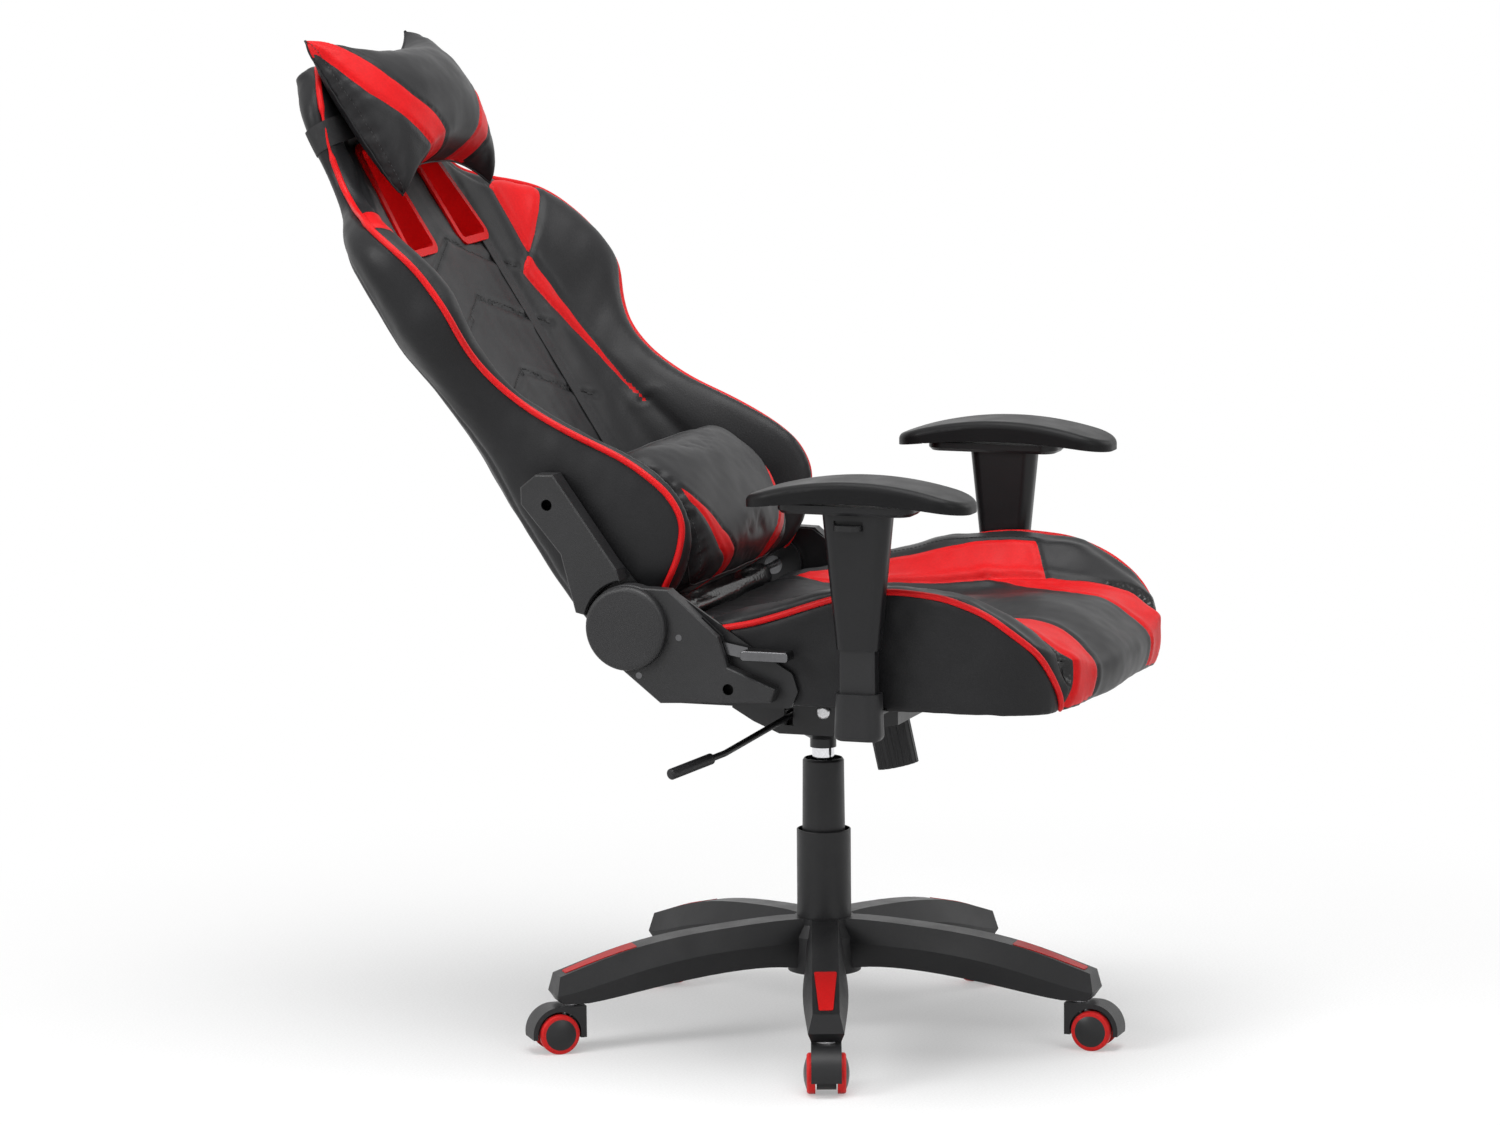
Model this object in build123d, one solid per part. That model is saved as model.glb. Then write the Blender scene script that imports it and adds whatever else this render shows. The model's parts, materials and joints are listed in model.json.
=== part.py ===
"""High-back gaming chair: five-star base on casters, gas lift, tilting seat and reclining back.

Millimetres. The origin is on the floor under the column. +Z is up, the sitter faces -Y and
the sitter's right is -X. The back is modelled upright about the recliner hub, as (x, -v, u) with
u up the back and v out of its front, and is then leaned back by BACK_TILT.
"""

from build123d import *
import math
import os

# ---- clearances -------------------------------------------------------------------------------
RUNNING_FIT = 0.05
SLIDING_GAP = 0.3
SOFT_GAP = 0.3

# ---- casters ----------------------------------------------------------------------------------
LEG_COUNT = 5
FIRST_LEG_ANGLE = -160.88
WHEEL_RADIUS = 25.0
WHEEL_TRAIL = 19.0
TYRE_INNER_FACE = 13.5
TYRE_WIDTH = 10.5
TYRE_THICKNESS = 5.5
WHEEL_DOME = 4.0
AXLE_RADIUS = 3.0
HOOD_RADIUS = 34.0
HOOD_WALL = 6.0
HOOD_WIDTH = 37.0
HOOD_SKIRT_ANGLE = 10.0
HOOD_BOSS_RADIUS = 16.0
HOOD_WEB_WIDTH = 24.0
HOOD_WEB_RADIUS = 20.0
STEM_RADIUS = 5.5
STEM_DEPTH_IN_HOOD = 20.0
STEM_DEPTH_IN_LEG = 24.0
STEM_FLANGE_RADIUS = 12.0
STEM_CIRCLE_RADIUS = 334.0

# ---- star base --------------------------------------------------------------------------------
HUB_TOP = 149.0
HUB_COLLAR_RADIUS = 37.0
HUB_RADIUS = 46.0
HUB_SHOULDER = 126.0
HUB_BOTTOM = 80.0
LEG_SOLE = 62.0
LEG_TIP_RADIUS = 356.0
LEG_TIP_SLANT = 12.0
LEG_ROOT_HALF = 21.5
LEG_WAIST_HALF = 23.0
LEG_WIDEST_HALF = 28.0
LEG_TIP_HALF = 22.0
LEG_TOP_HALF = 16.5
LEG_SOLE_INSET = 5.0
LEG_WALL = 4.5
LEG_RIB = 4.0
LEG_RIB_COUNT = 2
INSERT_START = 250.0
INSERT_LENGTH = 92.0
INSERT_INNER_WIDTH = 28.0
INSERT_OUTER_WIDTH = 17.5
INSERT_DEPTH = 2.2
INSERT_PROUD = 0.8

# ---- column -----------------------------------------------------------------------------------
COLUMN_TUBE_RADIUS = 23.5
COLUMN_TUBE_WALL = 2.0
COLUMN_TUBE_BOTTOM = 66.0
COLUMN_TUBE_TOP = 238.0
COLUMN_FLOOR = 5.0
GUIDE_LENGTH = 50.0
LOWER_COVER_RADIUS = 34.0
LOWER_COVER_TOP = 260.0
COVER_WALL = 1.8
UPPER_COVER_RADIUS = 26.0
UPPER_COVER_FOOT_RADIUS = 27.0
UPPER_COVER_BOTTOM = 240.0
UPPER_COVER_TOP = 350.0
UPPER_COVER_WALL = 1.2
PRESSURE_TUBE_RADIUS = 14.0
PRESSURE_TUBE_WALL = 2.5
PRESSURE_TUBE_BOTTOM = 170.0
PRESSURE_TUBE_TOP = 425.0
GLAND_LENGTH = 10.0
GAS_ROD_RADIUS = 5.0
PISTON_HEIGHT = 300.0
PISTON_LENGTH = 12.0
BEARING_RADIUS = 15.0
BEARING_HEIGHT = 6.0

# ---- tilt mechanism ---------------------------------------------------------------------------
COLLAR_RADIUS = 16.5
COLLAR_BOTTOM = 364.0
TRAY_HALF_WIDTH = 58.0
TRAY_WALL = 3.0
TRAY_FLOOR = 388.0
TRAY_FLOOR_FRONT = -33.0
TRAY_FRONT = -118.0
TRAY_REAR = 100.0
TRAY_FRONT_TOP = 440.0
TRAY_REAR_TOP = 424.0
PIVOT_Y = -23.0
PIVOT_Z = 419.0
PIVOT_RADIUS = 6.0
PIVOT_HEAD_RADIUS = 9.0
PIVOT_HEAD_HEIGHT = 5.0
KNOB_Y = -87.0
KNOB_LEAN = 12.4
KNOB_RADIUS = 26.0
KNOB_LENGTH = 56.0
KNOB_FLUTES = 18
KNOB_FLUTE_DEPTH = 1.2
KNOB_BOLT_RADIUS = 5.0
SPRING_OUTER_RADIUS = 17.0
SPRING_WIRE_RADIUS = 2.5
SPRING_COILS = 6
LEVER_ROD_RADIUS = 4.0
LEVER_Y = 25.0
LEVER_Z = 410.0
LEVER_PIN_X = -50.0
LEVER_PIN_RADIUS = 2.5
LEVER_EAR_THICKNESS = 3.0
LEVER_EAR_LENGTH = 12.0
LEVER_KNEE = (-220.0, 52.0, 390.0)
LEVER_TIP = (-300.0, 92.0, 376.0)
LEVER_GRIP_RADIUS = 7.0

# ---- seat -------------------------------------------------------------------------------------
SEAT_HALF_WIDTH = 260.0
SEAT_PAN_BOTTOM = 462.0
SEAT_PAN_THICKNESS = 12.0
SEAT_PAN_HALF_WIDTH = 245.0
SEAT_PAN_FRONT = -372.0
SEAT_PAN_FRONT_CORNER = 90.0
SEAT_PAN_REAR_CORNER = 40.0
SEAT_REAR = 130.0
SEAT_REAR_TOP = 530.0
SEAT_SURFACE = 548.0
SEAT_FRONT_CENTRE = -405.0
SEAT_FRONT_SIDE = -387.0
SEAT_FRONT_TUCK = 8.0
SEAT_NOSE = 500.0
SEAT_NOSE_DROP = 3.0
SEAT_FLAT_HALF_WIDTH = 60.0
SEAT_CORNER = ((260.0, -285.0), (256.5, -320.0), (248.0, -344.0), (232.0, -360.0),
               (212.0, -372.0), (188.0, -382.0), (150.0, -395.0), (110.0, -407.0))
SEAT_CREST = 610.0
SEAT_CREST_Y = -185.0
SEAT_BOLSTER_RISE = 7.0
SEAT_BOLSTER_CREST_X = 222.0
SEAT_DISH_HALF_WIDTH = 150.0
PLATE_THICKNESS = 4.0
SEAT_PLATE_HALF_WIDTH = 95.0
SEAT_PLATE_FRONT = -125.0
SEAT_PLATE_REAR = 98.0
FLANGE_INNER = 60.5
FLANGE_THICKNESS = 3.0
FLANGE_HALF_LENGTH = 34.0
FLANGE_BOTTOM = 404.0
SEAT_SCREW_RADIUS = 3.0
SEAT_SCREW_HEAD_RADIUS = 6.5
SEAT_SCREW_HEAD = 3.0
SEAT_SCREW_LENGTH = 9.0

# ---- arms -------------------------------------------------------------------------------------
ARM_X = 295.0
ARM_Y = -147.0
POST_THICKNESS = 20.0
POST_LENGTH = 46.0
POST_TOP = 640.0
ARM_PLATE_INNER = 112.0
FOOT_BOTTOM = 429.0
FOOT_TOP = 487.0
FOOT_THICKNESS = 36.0
FOOT_LENGTH = 56.0
FOOT_FLARE = 4.0
FOOT_CORNER_RADIUS = 15.0
FOOT_RIM_RADIUS = 7.0
SLEEVE_BOTTOM = 540.0
SLEEVE_TOP = 706.0
SLEEVE_BOTTOM_LENGTH = 54.0
SLEEVE_TOP_LENGTH = 88.0
SLEEVE_BOTTOM_THICKNESS = 29.0
SLEEVE_TOP_THICKNESS = 35.0
SLEEVE_BOTTOM_CORNER = 12.5
SLEEVE_TOP_CORNER = 15.0
SLEEVE_CROWN = 15.0
PAD_REAR = -9.0
PAD_FRONT = -292.5
PAD_HALF_WIDTH = 45.0
PAD_TOP = 748.0
PAD_END_TOP = 724.0
PAD_THICKNESS = 26.0
PAD_EDGE_RADIUS = 9.0
PAD_CORNER_RADIUS = 38.0
PAD_PLATE_REAR = -50.0
PAD_PLATE_FRONT = -222.0
PAD_PLATE_HALF_WIDTH = 32.0
PAD_PLATE_THICKNESS = 11.0
TRIGGER_Y = -140.0
TRIGGER_Z = 690.0
TRIGGER_WIDTH = 36.0
TRIGGER_HEIGHT = 7.0
TRIGGER_REACH = 12.0
TRIGGER_CORNER = 11.5
TRIGGER_POCKET = 4.0
TRIGGER_TRAVEL = 4.0

# ---- recliner ---------------------------------------------------------------------------------
HINGE_Y = 153.0
HINGE_Z = 551.0
BACK_TILT = 32.5
UPPER_BRACKET_INNER = 252.3
DISC_THICKNESS = 6.2
DISC_RADIUS = 38.0
HINGE_BOSS_RADIUS = 12.0
BRACKET_FLANGE_FRONT = 185.0
BRACKET_FLANGE_REAR = 50.0
BRACKET_FLANGE_INNER = 185.0
COVER_OUTER = 286.0
COVER_SHELL = 2.5
CAP_RADIUS = 52.0
CAP_HEIGHT = 12.0
CAP_EDGE_RADIUS = 6.0
ARM_COVER_GAP = 4.5
SCREW_HOLE_RADIUS = 7.0
COVER_SCREW_RADIUS = 4.0
COVER_SCREW_SINK = 1.2
COVER_SCREW_PROUD = 0.3
COVER_SCREW_PLACES = ((-66.0, -9.0), (-14.0, -58.0))
CROSS_ROD_RADIUS = 4.0
HANDLE_INNER = 271.5
HANDLE_THICKNESS = 3.0
HANDLE_HEIGHT = 14.0
HANDLE_REACH = 150.0
HANDLE_DROP = 26.0
HANDLE_GRIP_LENGTH = 61.0
HANDLE_GRIP_WIDTH = 24.0
HANDLE_GRIP_HEIGHT = 12.0
HANDLE_SWING = 30.0
RETURN_SPRING_RADIUS = 27.0
RETURN_SPRING_WIDTH = 4.0

# ---- back -------------------------------------------------------------------------------------
PANEL_V = -58.0
PANEL_HALF_WIDTH = 138.0
PANEL_TOP = 716.0
HEAD_CREST_V = -36.0
BELT_HOLE_BOTTOM = 546.0
BELT_HOLE_TOP = 700.0
BELT_HOLE_INNER = 45.0
BELT_HOLE_BOTTOM_WIDTH = 87.0
BELT_HOLE_TOP_WIDTH = 58.0
BEZEL_WALL = 5.0
BEZEL_PROUD = 5.5
BACK_REAR_V = -130.0
THROUGH = 60.0
BEZEL_FLANGE = 5.0
BEZEL_LIP = 3.0
FRAME_TUBE_RADIUS = 8.0
FRAME_TUBE_V = -70.0
FRAME_HALF_WIDTH = 200.0
FRAME_HEAD_HALF_WIDTH = 146.0
FRAME_BOTTOM = 40.0
FRAME_SHOULDER = 570.0
FRAME_NECK = 655.0
FRAME_TOP = 765.0
FRAME_BOSS_RADIUS = 9.0
FRAME_BOSS_LOW = 95.0
FRAME_BOSS_HIGH = 180.0
FRAME_BOSS_V = -10.0

# ---- pillows and straps -----------------------------------------------------------------------
LUMBAR_BOTTOM = 12.0
LUMBAR_TOP = 187.0
LUMBAR_HALF_WIDTH = 132.0
LUMBAR_FRONT_V = 140.0
HEAD_PILLOW_BOTTOM = 612.0
HEAD_PILLOW_TOP = 830.0
HEAD_PILLOW_HALF_WIDTH = 148.0
HEAD_PILLOW_BACK_V = HEAD_CREST_V + SOFT_GAP
HEAD_PILLOW_FRONT_V = 76.0
STRAP_THICKNESS = 1.6
LUMBAR_STRAP_WIDTH = 24.0
LUMBAR_STRAP_X = 116.0
HEAD_STRAP_BOTTOM = 711.0
HEAD_STRAP_WIDTH = 32.0

KNOB_SLOPE = math.tan(math.radians(KNOB_LEAN))
KNOB_TOP = TRAY_FLOOR + (TRAY_FLOOR_FRONT - KNOB_Y) * KNOB_SLOPE
UPPER_BRACKET_OUTER = UPPER_BRACKET_INNER + PLATE_THICKNESS
LOWER_BRACKET_INNER = UPPER_BRACKET_OUTER + DISC_THICKNESS
LOWER_BRACKET_OUTER = LOWER_BRACKET_INNER + PLATE_THICKNESS
SEAT_BOTTOM = SEAT_PAN_BOTTOM + SEAT_PAN_THICKNESS
PLATE_BOTTOM = SEAT_PAN_BOTTOM - PLATE_THICKNESS

BACK_PLACE = Location((0, HINGE_Y, HINGE_Z), (-BACK_TILT, 0, 0))


def save(name, *shapes):
    """Writes the solids of the given shapes as one STEP file."""
    solids = [solid for shape in shapes for solid in shape.solids()]
    export_step(solids[0] if len(solids) == 1 else Compound(solids), f"parts/{name}.step")


def pair(shape):
    """The sitter's right-hand piece with its mirror image on the left."""
    return Compound([*shape.solids(), *shape.mirror(Plane.YZ).solids()])


def tube(outer, inner, bottom, top):
    """An upright tube about the column axis."""
    ring = Circle(outer) - Circle(inner) if inner else Circle(outer)
    return extrude(Plane.XY.offset(bottom) * ring, top - bottom)


def rod(start, end, radius):
    """A round bar between two points."""
    axis = Vector(*end) - Vector(*start)
    return extrude(Plane(origin=start, z_dir=axis) * Circle(radius), axis.length)


def block(low, high):
    """A box between two opposite corners."""
    size = [b - a for a, b in zip(low, high)]
    middle = [(a + b) / 2 for a, b in zip(low, high)]
    return Pos(*middle) * Box(*size)


def side_plane(x):
    """Sketch plane on the sitter's right at x, with (y, z) measured from the recliner hub."""
    return Plane(origin=(-x, HINGE_Y, HINGE_Z), x_dir=(0, 1, 0), z_dir=(1, 0, 0))


def back_side_plane(x):
    """Sketch plane on the sitter's right at x, with (u, v) of the upright back."""
    return Plane(origin=(-x, 0, 0), x_dir=(0, 0, 1), z_dir=(1, 0, 0))


def slab(sketch, plane_at, inner, outer):
    """Extrudes a side sketch between two distances from the middle of the chair."""
    return extrude(plane_at(outer) * sketch, outer - inner)


def rounded(sketch, radius, count=None):
    """A sketch with its corners rounded."""
    corners = sketch.vertices()
    return fillet(corners if count is None else corners[:count], radius)


# ---- base -------------------------------------------------------------------------------------
def leg_stations(lift):
    """Leg sections from hub to tip: (radius, top, ridge, sole, top half, ridge half, sole half)."""
    shape = (
        (30.0, HUB_TOP, 118.0, 84.0, LEG_ROOT_HALF),
        (95.0, 147.0, 118.0, 90.0, LEG_WAIST_HALF),
        (175.0, 140.0, 112.0, 84.0, 0.5 * (LEG_WAIST_HALF + LEG_WIDEST_HALF)),
        (255.0, 126.5, 98.0, 72.0, LEG_WIDEST_HALF),
        (315.0, 109.0, 82.0, LEG_SOLE, 0.5 * (LEG_WIDEST_HALF + LEG_TIP_HALF)),
        (LEG_TIP_RADIUS + LEG_TIP_SLANT, 92.0, 72.0, LEG_SOLE, LEG_TIP_HALF),
    )
    return [
        (radius, top + lift, ridge, sole, LEG_TOP_HALF, half, half - LEG_SOLE_INSET)
        for radius, top, ridge, sole, half in shape
    ]


def leg_solid(lift=0.0):
    """One leg along +X: a six-sided section that arches down to the tip."""
    sections = []
    for radius, top, ridge, sole, top_half, ridge_half, sole_half in leg_stations(lift):
        outline = Polyline(
            (-top_half, top), (top_half, top), (ridge_half, ridge), (sole_half, sole),
            (-sole_half, sole), (-ridge_half, ridge), close=True,
        )
        plane = Plane(origin=(radius, 0, 0), x_dir=(0, 1, 0), z_dir=(1, 0, 0))
        sections.append(plane * make_face(outline))
    leg = loft(sections)
    slant = Polyline(
        (LEG_TIP_RADIUS - LEG_TIP_SLANT + 6, HUB_TOP), (LEG_TIP_RADIUS - 5, 98.0),
        (LEG_TIP_RADIUS, 74.0), (LEG_TIP_RADIUS - 9, LEG_SOLE - 1),
        (LEG_TIP_RADIUS + 60, LEG_SOLE - 1), (LEG_TIP_RADIUS + 60, HUB_TOP), close=True,
    )
    return leg - extrude(Plane.XZ * make_face(slant), 100, both=True)


def insert_prism(margin):
    """Upright prism over the coloured insert's tapered outline."""
    inner, outer = INSERT_INNER_WIDTH / 2 + margin, INSERT_OUTER_WIDTH / 2 + margin
    start, end = INSERT_START - margin, INSERT_START + INSERT_LENGTH + margin
    outline = make_face(Polyline((start, -inner), (end, -outer), (end, outer), (start, inner),
                                 close=True))
    return extrude(Plane.XY.offset(LEG_SOLE) * rounded(outline, 3.0), HUB_TOP)


def leg_pockets():
    """Underside hollows of one leg, parted by cross ribs."""
    start, end = HUB_RADIUS + 10, STEM_CIRCLE_RADIUS - STEM_FLANGE_RADIUS - 4
    length = (end - start - LEG_RIB_COUNT * LEG_RIB) / (LEG_RIB_COUNT + 1)
    half = LEG_ROOT_HALF - LEG_SOLE_INSET - LEG_WALL
    roof = (
        (start, 128.0), (175.0, 124.0), (255.0, 108.0), (end, 92.0),
    )
    outline = make_face(Polyline(*roof, (end, LEG_SOLE - 10), (start, LEG_SOLE - 10), close=True))
    hollow = extrude(Plane.XZ * outline, half, both=True)
    for k in range(LEG_RIB_COUNT):
        left = start + (k + 1) * length + k * LEG_RIB
        hollow -= block((left, -half - 1, 0), (left + LEG_RIB, half + 1, HUB_TOP))
    return hollow


def leg_turns():
    """Locations that turn a leg along +X to each leg's direction."""
    step = 360 / LEG_COUNT
    return [Location((0, 0, 0), (0, 0, FIRST_LEG_ANGLE + step * k)) for k in range(LEG_COUNT)]


def make_base():
    """Star base, its coloured inserts and the caster stems pressed into it."""
    insert = (leg_solid(INSERT_PROUD) & insert_prism(0)) - leg_solid(-INSERT_DEPTH)
    recess = (leg_solid(INSERT_PROUD) & insert_prism(SLIDING_GAP)) - leg_solid(-INSERT_DEPTH)
    socket = Pos(STEM_CIRCLE_RADIUS, 0, LEG_SOLE - 5) * Cylinder(
        STEM_RADIUS, STEM_DEPTH_IN_LEG + 5, align=(Align.CENTER, Align.CENTER, Align.MIN))
    sole_trim = block((INSERT_START, -HUB_RADIUS, 0), (LEG_TIP_RADIUS + 20, HUB_RADIUS, LEG_SOLE))
    leg = leg_solid() - recess - leg_pockets() - socket - sole_trim
    hub_outline = Polyline(
        (0, HUB_BOTTOM), (HUB_RADIUS, HUB_BOTTOM), (HUB_RADIUS, HUB_SHOULDER),
        (HUB_COLLAR_RADIUS, HUB_TOP - 8), (HUB_COLLAR_RADIUS, HUB_TOP), (0, HUB_TOP), close=True,
    )
    star = revolve(Plane.XZ * make_face(hub_outline), Axis.Z)
    for turn in leg_turns():
        star += turn * leg
    star -= tube(2 * HUB_RADIUS, 0, HUB_TOP, HUB_TOP + 20)
    star -= Pos(0, 0, HUB_TOP / 2) * Cylinder(COLUMN_TUBE_RADIUS, HUB_TOP + 20)
    save("star_base", star)
    save("leg_inserts", *[turn * insert for turn in leg_turns()])

    hood_top = WHEEL_RADIUS + HOOD_RADIUS
    stem = Pos(STEM_CIRCLE_RADIUS, 0, hood_top - STEM_DEPTH_IN_HOOD) * Cylinder(
        STEM_RADIUS, LEG_SOLE + STEM_DEPTH_IN_LEG - hood_top + STEM_DEPTH_IN_HOOD,
        align=(Align.CENTER, Align.CENTER, Align.MIN))
    stem += Pos(STEM_CIRCLE_RADIUS, 0, hood_top + SLIDING_GAP) * Cylinder(
        STEM_FLANGE_RADIUS, LEG_SOLE - hood_top - SLIDING_GAP,
        align=(Align.CENTER, Align.CENTER, Align.MIN))
    save("caster_stems", *[turn * stem for turn in leg_turns()])


def make_caster(number, turn):
    """Twin-wheel hooded caster that trails outward from its stem."""
    wheel_x = STEM_CIRCLE_RADIUS + WHEEL_TRAIL
    across = Plane(origin=(wheel_x, 0, WHEEL_RADIUS), x_dir=(1, 0, 0), z_dir=(0, -1, 0))
    hood_inner = HOOD_RADIUS - HOOD_WALL
    stem_side = -WHEEL_TRAIL - HOOD_BOSS_RADIUS

    shell = Circle(HOOD_RADIUS) + Pos(stem_side / 2, 0) * Rectangle(-stem_side, 2 * HOOD_RADIUS)
    shell -= Circle(hood_inner)
    skirt = Pos(0, -HOOD_RADIUS - HOOD_RADIUS * math.sin(math.radians(HOOD_SKIRT_ANGLE)))
    shell -= skirt * Rectangle(4 * HOOD_RADIUS, 2 * HOOD_RADIUS)
    hood = extrude(across * shell, HOOD_WIDTH / 2, both=True)
    hood += extrude(across * Circle(HOOD_WEB_RADIUS), HOOD_WEB_WIDTH / 2, both=True)
    bridge = Pos(stem_side / 2, HOOD_WEB_RADIUS / 2) * Rectangle(-stem_side, HOOD_WEB_RADIUS)
    hood += extrude(across * bridge, HOOD_WEB_WIDTH / 2, both=True)
    stem_bore = Pos(STEM_CIRCLE_RADIUS, 0, WHEEL_RADIUS + HOOD_RADIUS - STEM_DEPTH_IN_HOOD)
    hood -= stem_bore * Cylinder(STEM_RADIUS + RUNNING_FIT, STEM_DEPTH_IN_HOOD + 5,
                                 align=(Align.CENTER, Align.CENTER, Align.MIN))
    axle_half = TYRE_INNER_FACE + TYRE_WIDTH - 2
    axle = extrude(across * Circle(AXLE_RADIUS), axle_half, both=True)
    hood -= extrude(across * Circle(AXLE_RADIUS), HOOD_WIDTH, both=True)

    rim = WHEEL_RADIUS - TYRE_THICKNESS
    outer_face = TYRE_INNER_FACE + TYRE_WIDTH
    tyres, hubs = [], []
    for side in (-1, 1):
        face = Plane(origin=(wheel_x, side * TYRE_INNER_FACE, WHEEL_RADIUS), x_dir=(1, 0, 0),
                     z_dir=(0, side, 0))
        tread = extrude(face * (Circle(WHEEL_RADIUS) - Circle(rim)), TYRE_WIDTH)
        rounding = tread.edges().filter_by(GeomType.CIRCLE).sort_by(
            lambda edge: (abs(edge.center().Y) + edge.radius))[-1]
        tyres.append(fillet(rounding, 3.5))
        disc = extrude(face * Circle(rim), TYRE_WIDTH)
        dome_height = WHEEL_DOME
        ball = (rim * rim + dome_height * dome_height) / (2 * dome_height)
        sphere = Pos(wheel_x, side * (outer_face + dome_height - ball), WHEEL_RADIUS) * Sphere(ball)
        cap = sphere & extrude(face.offset(TYRE_WIDTH) * Circle(rim), dome_height + 1)
        disc += cap
        disc -= extrude(face * Circle(AXLE_RADIUS + RUNNING_FIT), TYRE_WIDTH - 1.5)
        hubs.append(disc)
    save(f"caster_{number}_hood", turn * hood, turn * axle)
    save(f"caster_{number}_tyres", *[turn * tyre for tyre in tyres])
    save(f"caster_{number}_hubs", *[turn * hub for hub in hubs])


def make_column():
    """Gas lift: outer tube, thrust bearing, piston rod, pressure tube and two telescopic covers."""
    inner = COLUMN_TUBE_RADIUS - COLUMN_TUBE_WALL
    column = tube(COLUMN_TUBE_RADIUS, inner, COLUMN_TUBE_BOTTOM, COLUMN_TUBE_TOP)
    column += tube(inner, GAS_ROD_RADIUS + SLIDING_GAP, COLUMN_TUBE_BOTTOM,
                   COLUMN_TUBE_BOTTOM + COLUMN_FLOOR)
    column += tube(inner, PRESSURE_TUBE_RADIUS + RUNNING_FIT, COLUMN_TUBE_TOP - GUIDE_LENGTH,
                   COLUMN_TUBE_TOP)
    save("column_tube", column)

    bearing_bottom = COLUMN_TUBE_BOTTOM + COLUMN_FLOOR
    bearing = tube(BEARING_RADIUS, GAS_ROD_RADIUS + SLIDING_GAP, bearing_bottom,
                   bearing_bottom + BEARING_HEIGHT)
    save("thrust_bearing", bearing)

    lower = tube(LOWER_COVER_RADIUS, LOWER_COVER_RADIUS - COVER_WALL, HUB_TOP, LOWER_COVER_TOP)
    lower = fillet(lower.edges().group_by(Axis.Z)[-1].sort_by(SortBy.RADIUS)[-1], 1.2)
    save("lower_cover", lower)

    outline = make_face(Polyline(
        (UPPER_COVER_FOOT_RADIUS - UPPER_COVER_WALL, UPPER_COVER_BOTTOM),
        (UPPER_COVER_FOOT_RADIUS, UPPER_COVER_BOTTOM),
        (UPPER_COVER_RADIUS, UPPER_COVER_TOP - 3), (UPPER_COVER_RADIUS - 2, UPPER_COVER_TOP),
        (UPPER_COVER_RADIUS - UPPER_COVER_WALL - 2, UPPER_COVER_TOP),
        (UPPER_COVER_RADIUS - UPPER_COVER_WALL, UPPER_COVER_TOP - 4), close=True,
    ))
    upper = revolve(Plane.XZ * outline, Axis.Z)
    rim_ring = tube(LOWER_COVER_RADIUS - COVER_WALL - SLIDING_GAP, UPPER_COVER_FOOT_RADIUS - 0.5,
                    UPPER_COVER_BOTTOM, UPPER_COVER_BOTTOM + 5)
    save("upper_cover", upper + rim_ring)

    rod_bottom = bearing_bottom + BEARING_HEIGHT
    gas_rod = tube(GAS_ROD_RADIUS, 0.5, COLUMN_TUBE_BOTTOM - 3, PISTON_HEIGHT)
    gas_rod += Pos(0, 0, rod_bottom) * Cylinder(
        GAS_ROD_RADIUS + 4, 3, align=(Align.CENTER, Align.CENTER, Align.MIN))
    gas_rod += Pos(0, 0, PISTON_HEIGHT) * Cylinder(
        PRESSURE_TUBE_RADIUS - PRESSURE_TUBE_WALL - RUNNING_FIT, PISTON_LENGTH,
        align=(Align.CENTER, Align.CENTER, Align.MIN))
    save("gas_rod", gas_rod)

    bore = PRESSURE_TUBE_RADIUS - PRESSURE_TUBE_WALL
    pressure = tube(PRESSURE_TUBE_RADIUS, bore, PRESSURE_TUBE_BOTTOM, PRESSURE_TUBE_TOP)
    pressure += tube(bore, GAS_ROD_RADIUS + RUNNING_FIT, PRESSURE_TUBE_BOTTOM,
                     PRESSURE_TUBE_BOTTOM + GLAND_LENGTH)
    pressure += Pos(0, 0, PRESSURE_TUBE_TOP - GLAND_LENGTH) * Cylinder(
        bore, GLAND_LENGTH, align=(Align.CENTER, Align.CENTER, Align.MIN))
    save("pressure_tube", pressure)


# ---- tilt mechanism ---------------------------------------------------------------------------
def tray_outline(inset):
    """Side outline of the pressed tray, inset by the wall on its closed sides."""
    top = 0 if inset == 0 else 40
    front_floor = TRAY_FLOOR + (TRAY_FLOOR_FRONT - TRAY_FRONT - inset) * KNOB_SLOPE
    return make_face(Polyline(
        (TRAY_FRONT + inset, TRAY_FRONT_TOP + top), (TRAY_FRONT + inset, front_floor + inset),
        (TRAY_FLOOR_FRONT, TRAY_FLOOR + inset), (38.0, TRAY_FLOOR + inset),
        (72.0, TRAY_FLOOR + 14 + inset), (TRAY_REAR - inset, TRAY_REAR_TOP - 6 + inset),
        (TRAY_REAR - inset, TRAY_REAR_TOP + top), close=True,
    ))


def knob_plane(height):
    """Plane square to the leaning adjuster axis, at a distance above the knob's top."""
    lean = math.radians(KNOB_LEAN)
    axis = Vector(0, math.sin(lean), math.cos(lean))
    origin = Vector(0, KNOB_Y, KNOB_TOP) + axis * height
    return Plane(origin=origin, x_dir=(1, 0, 0), z_dir=axis)


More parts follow.
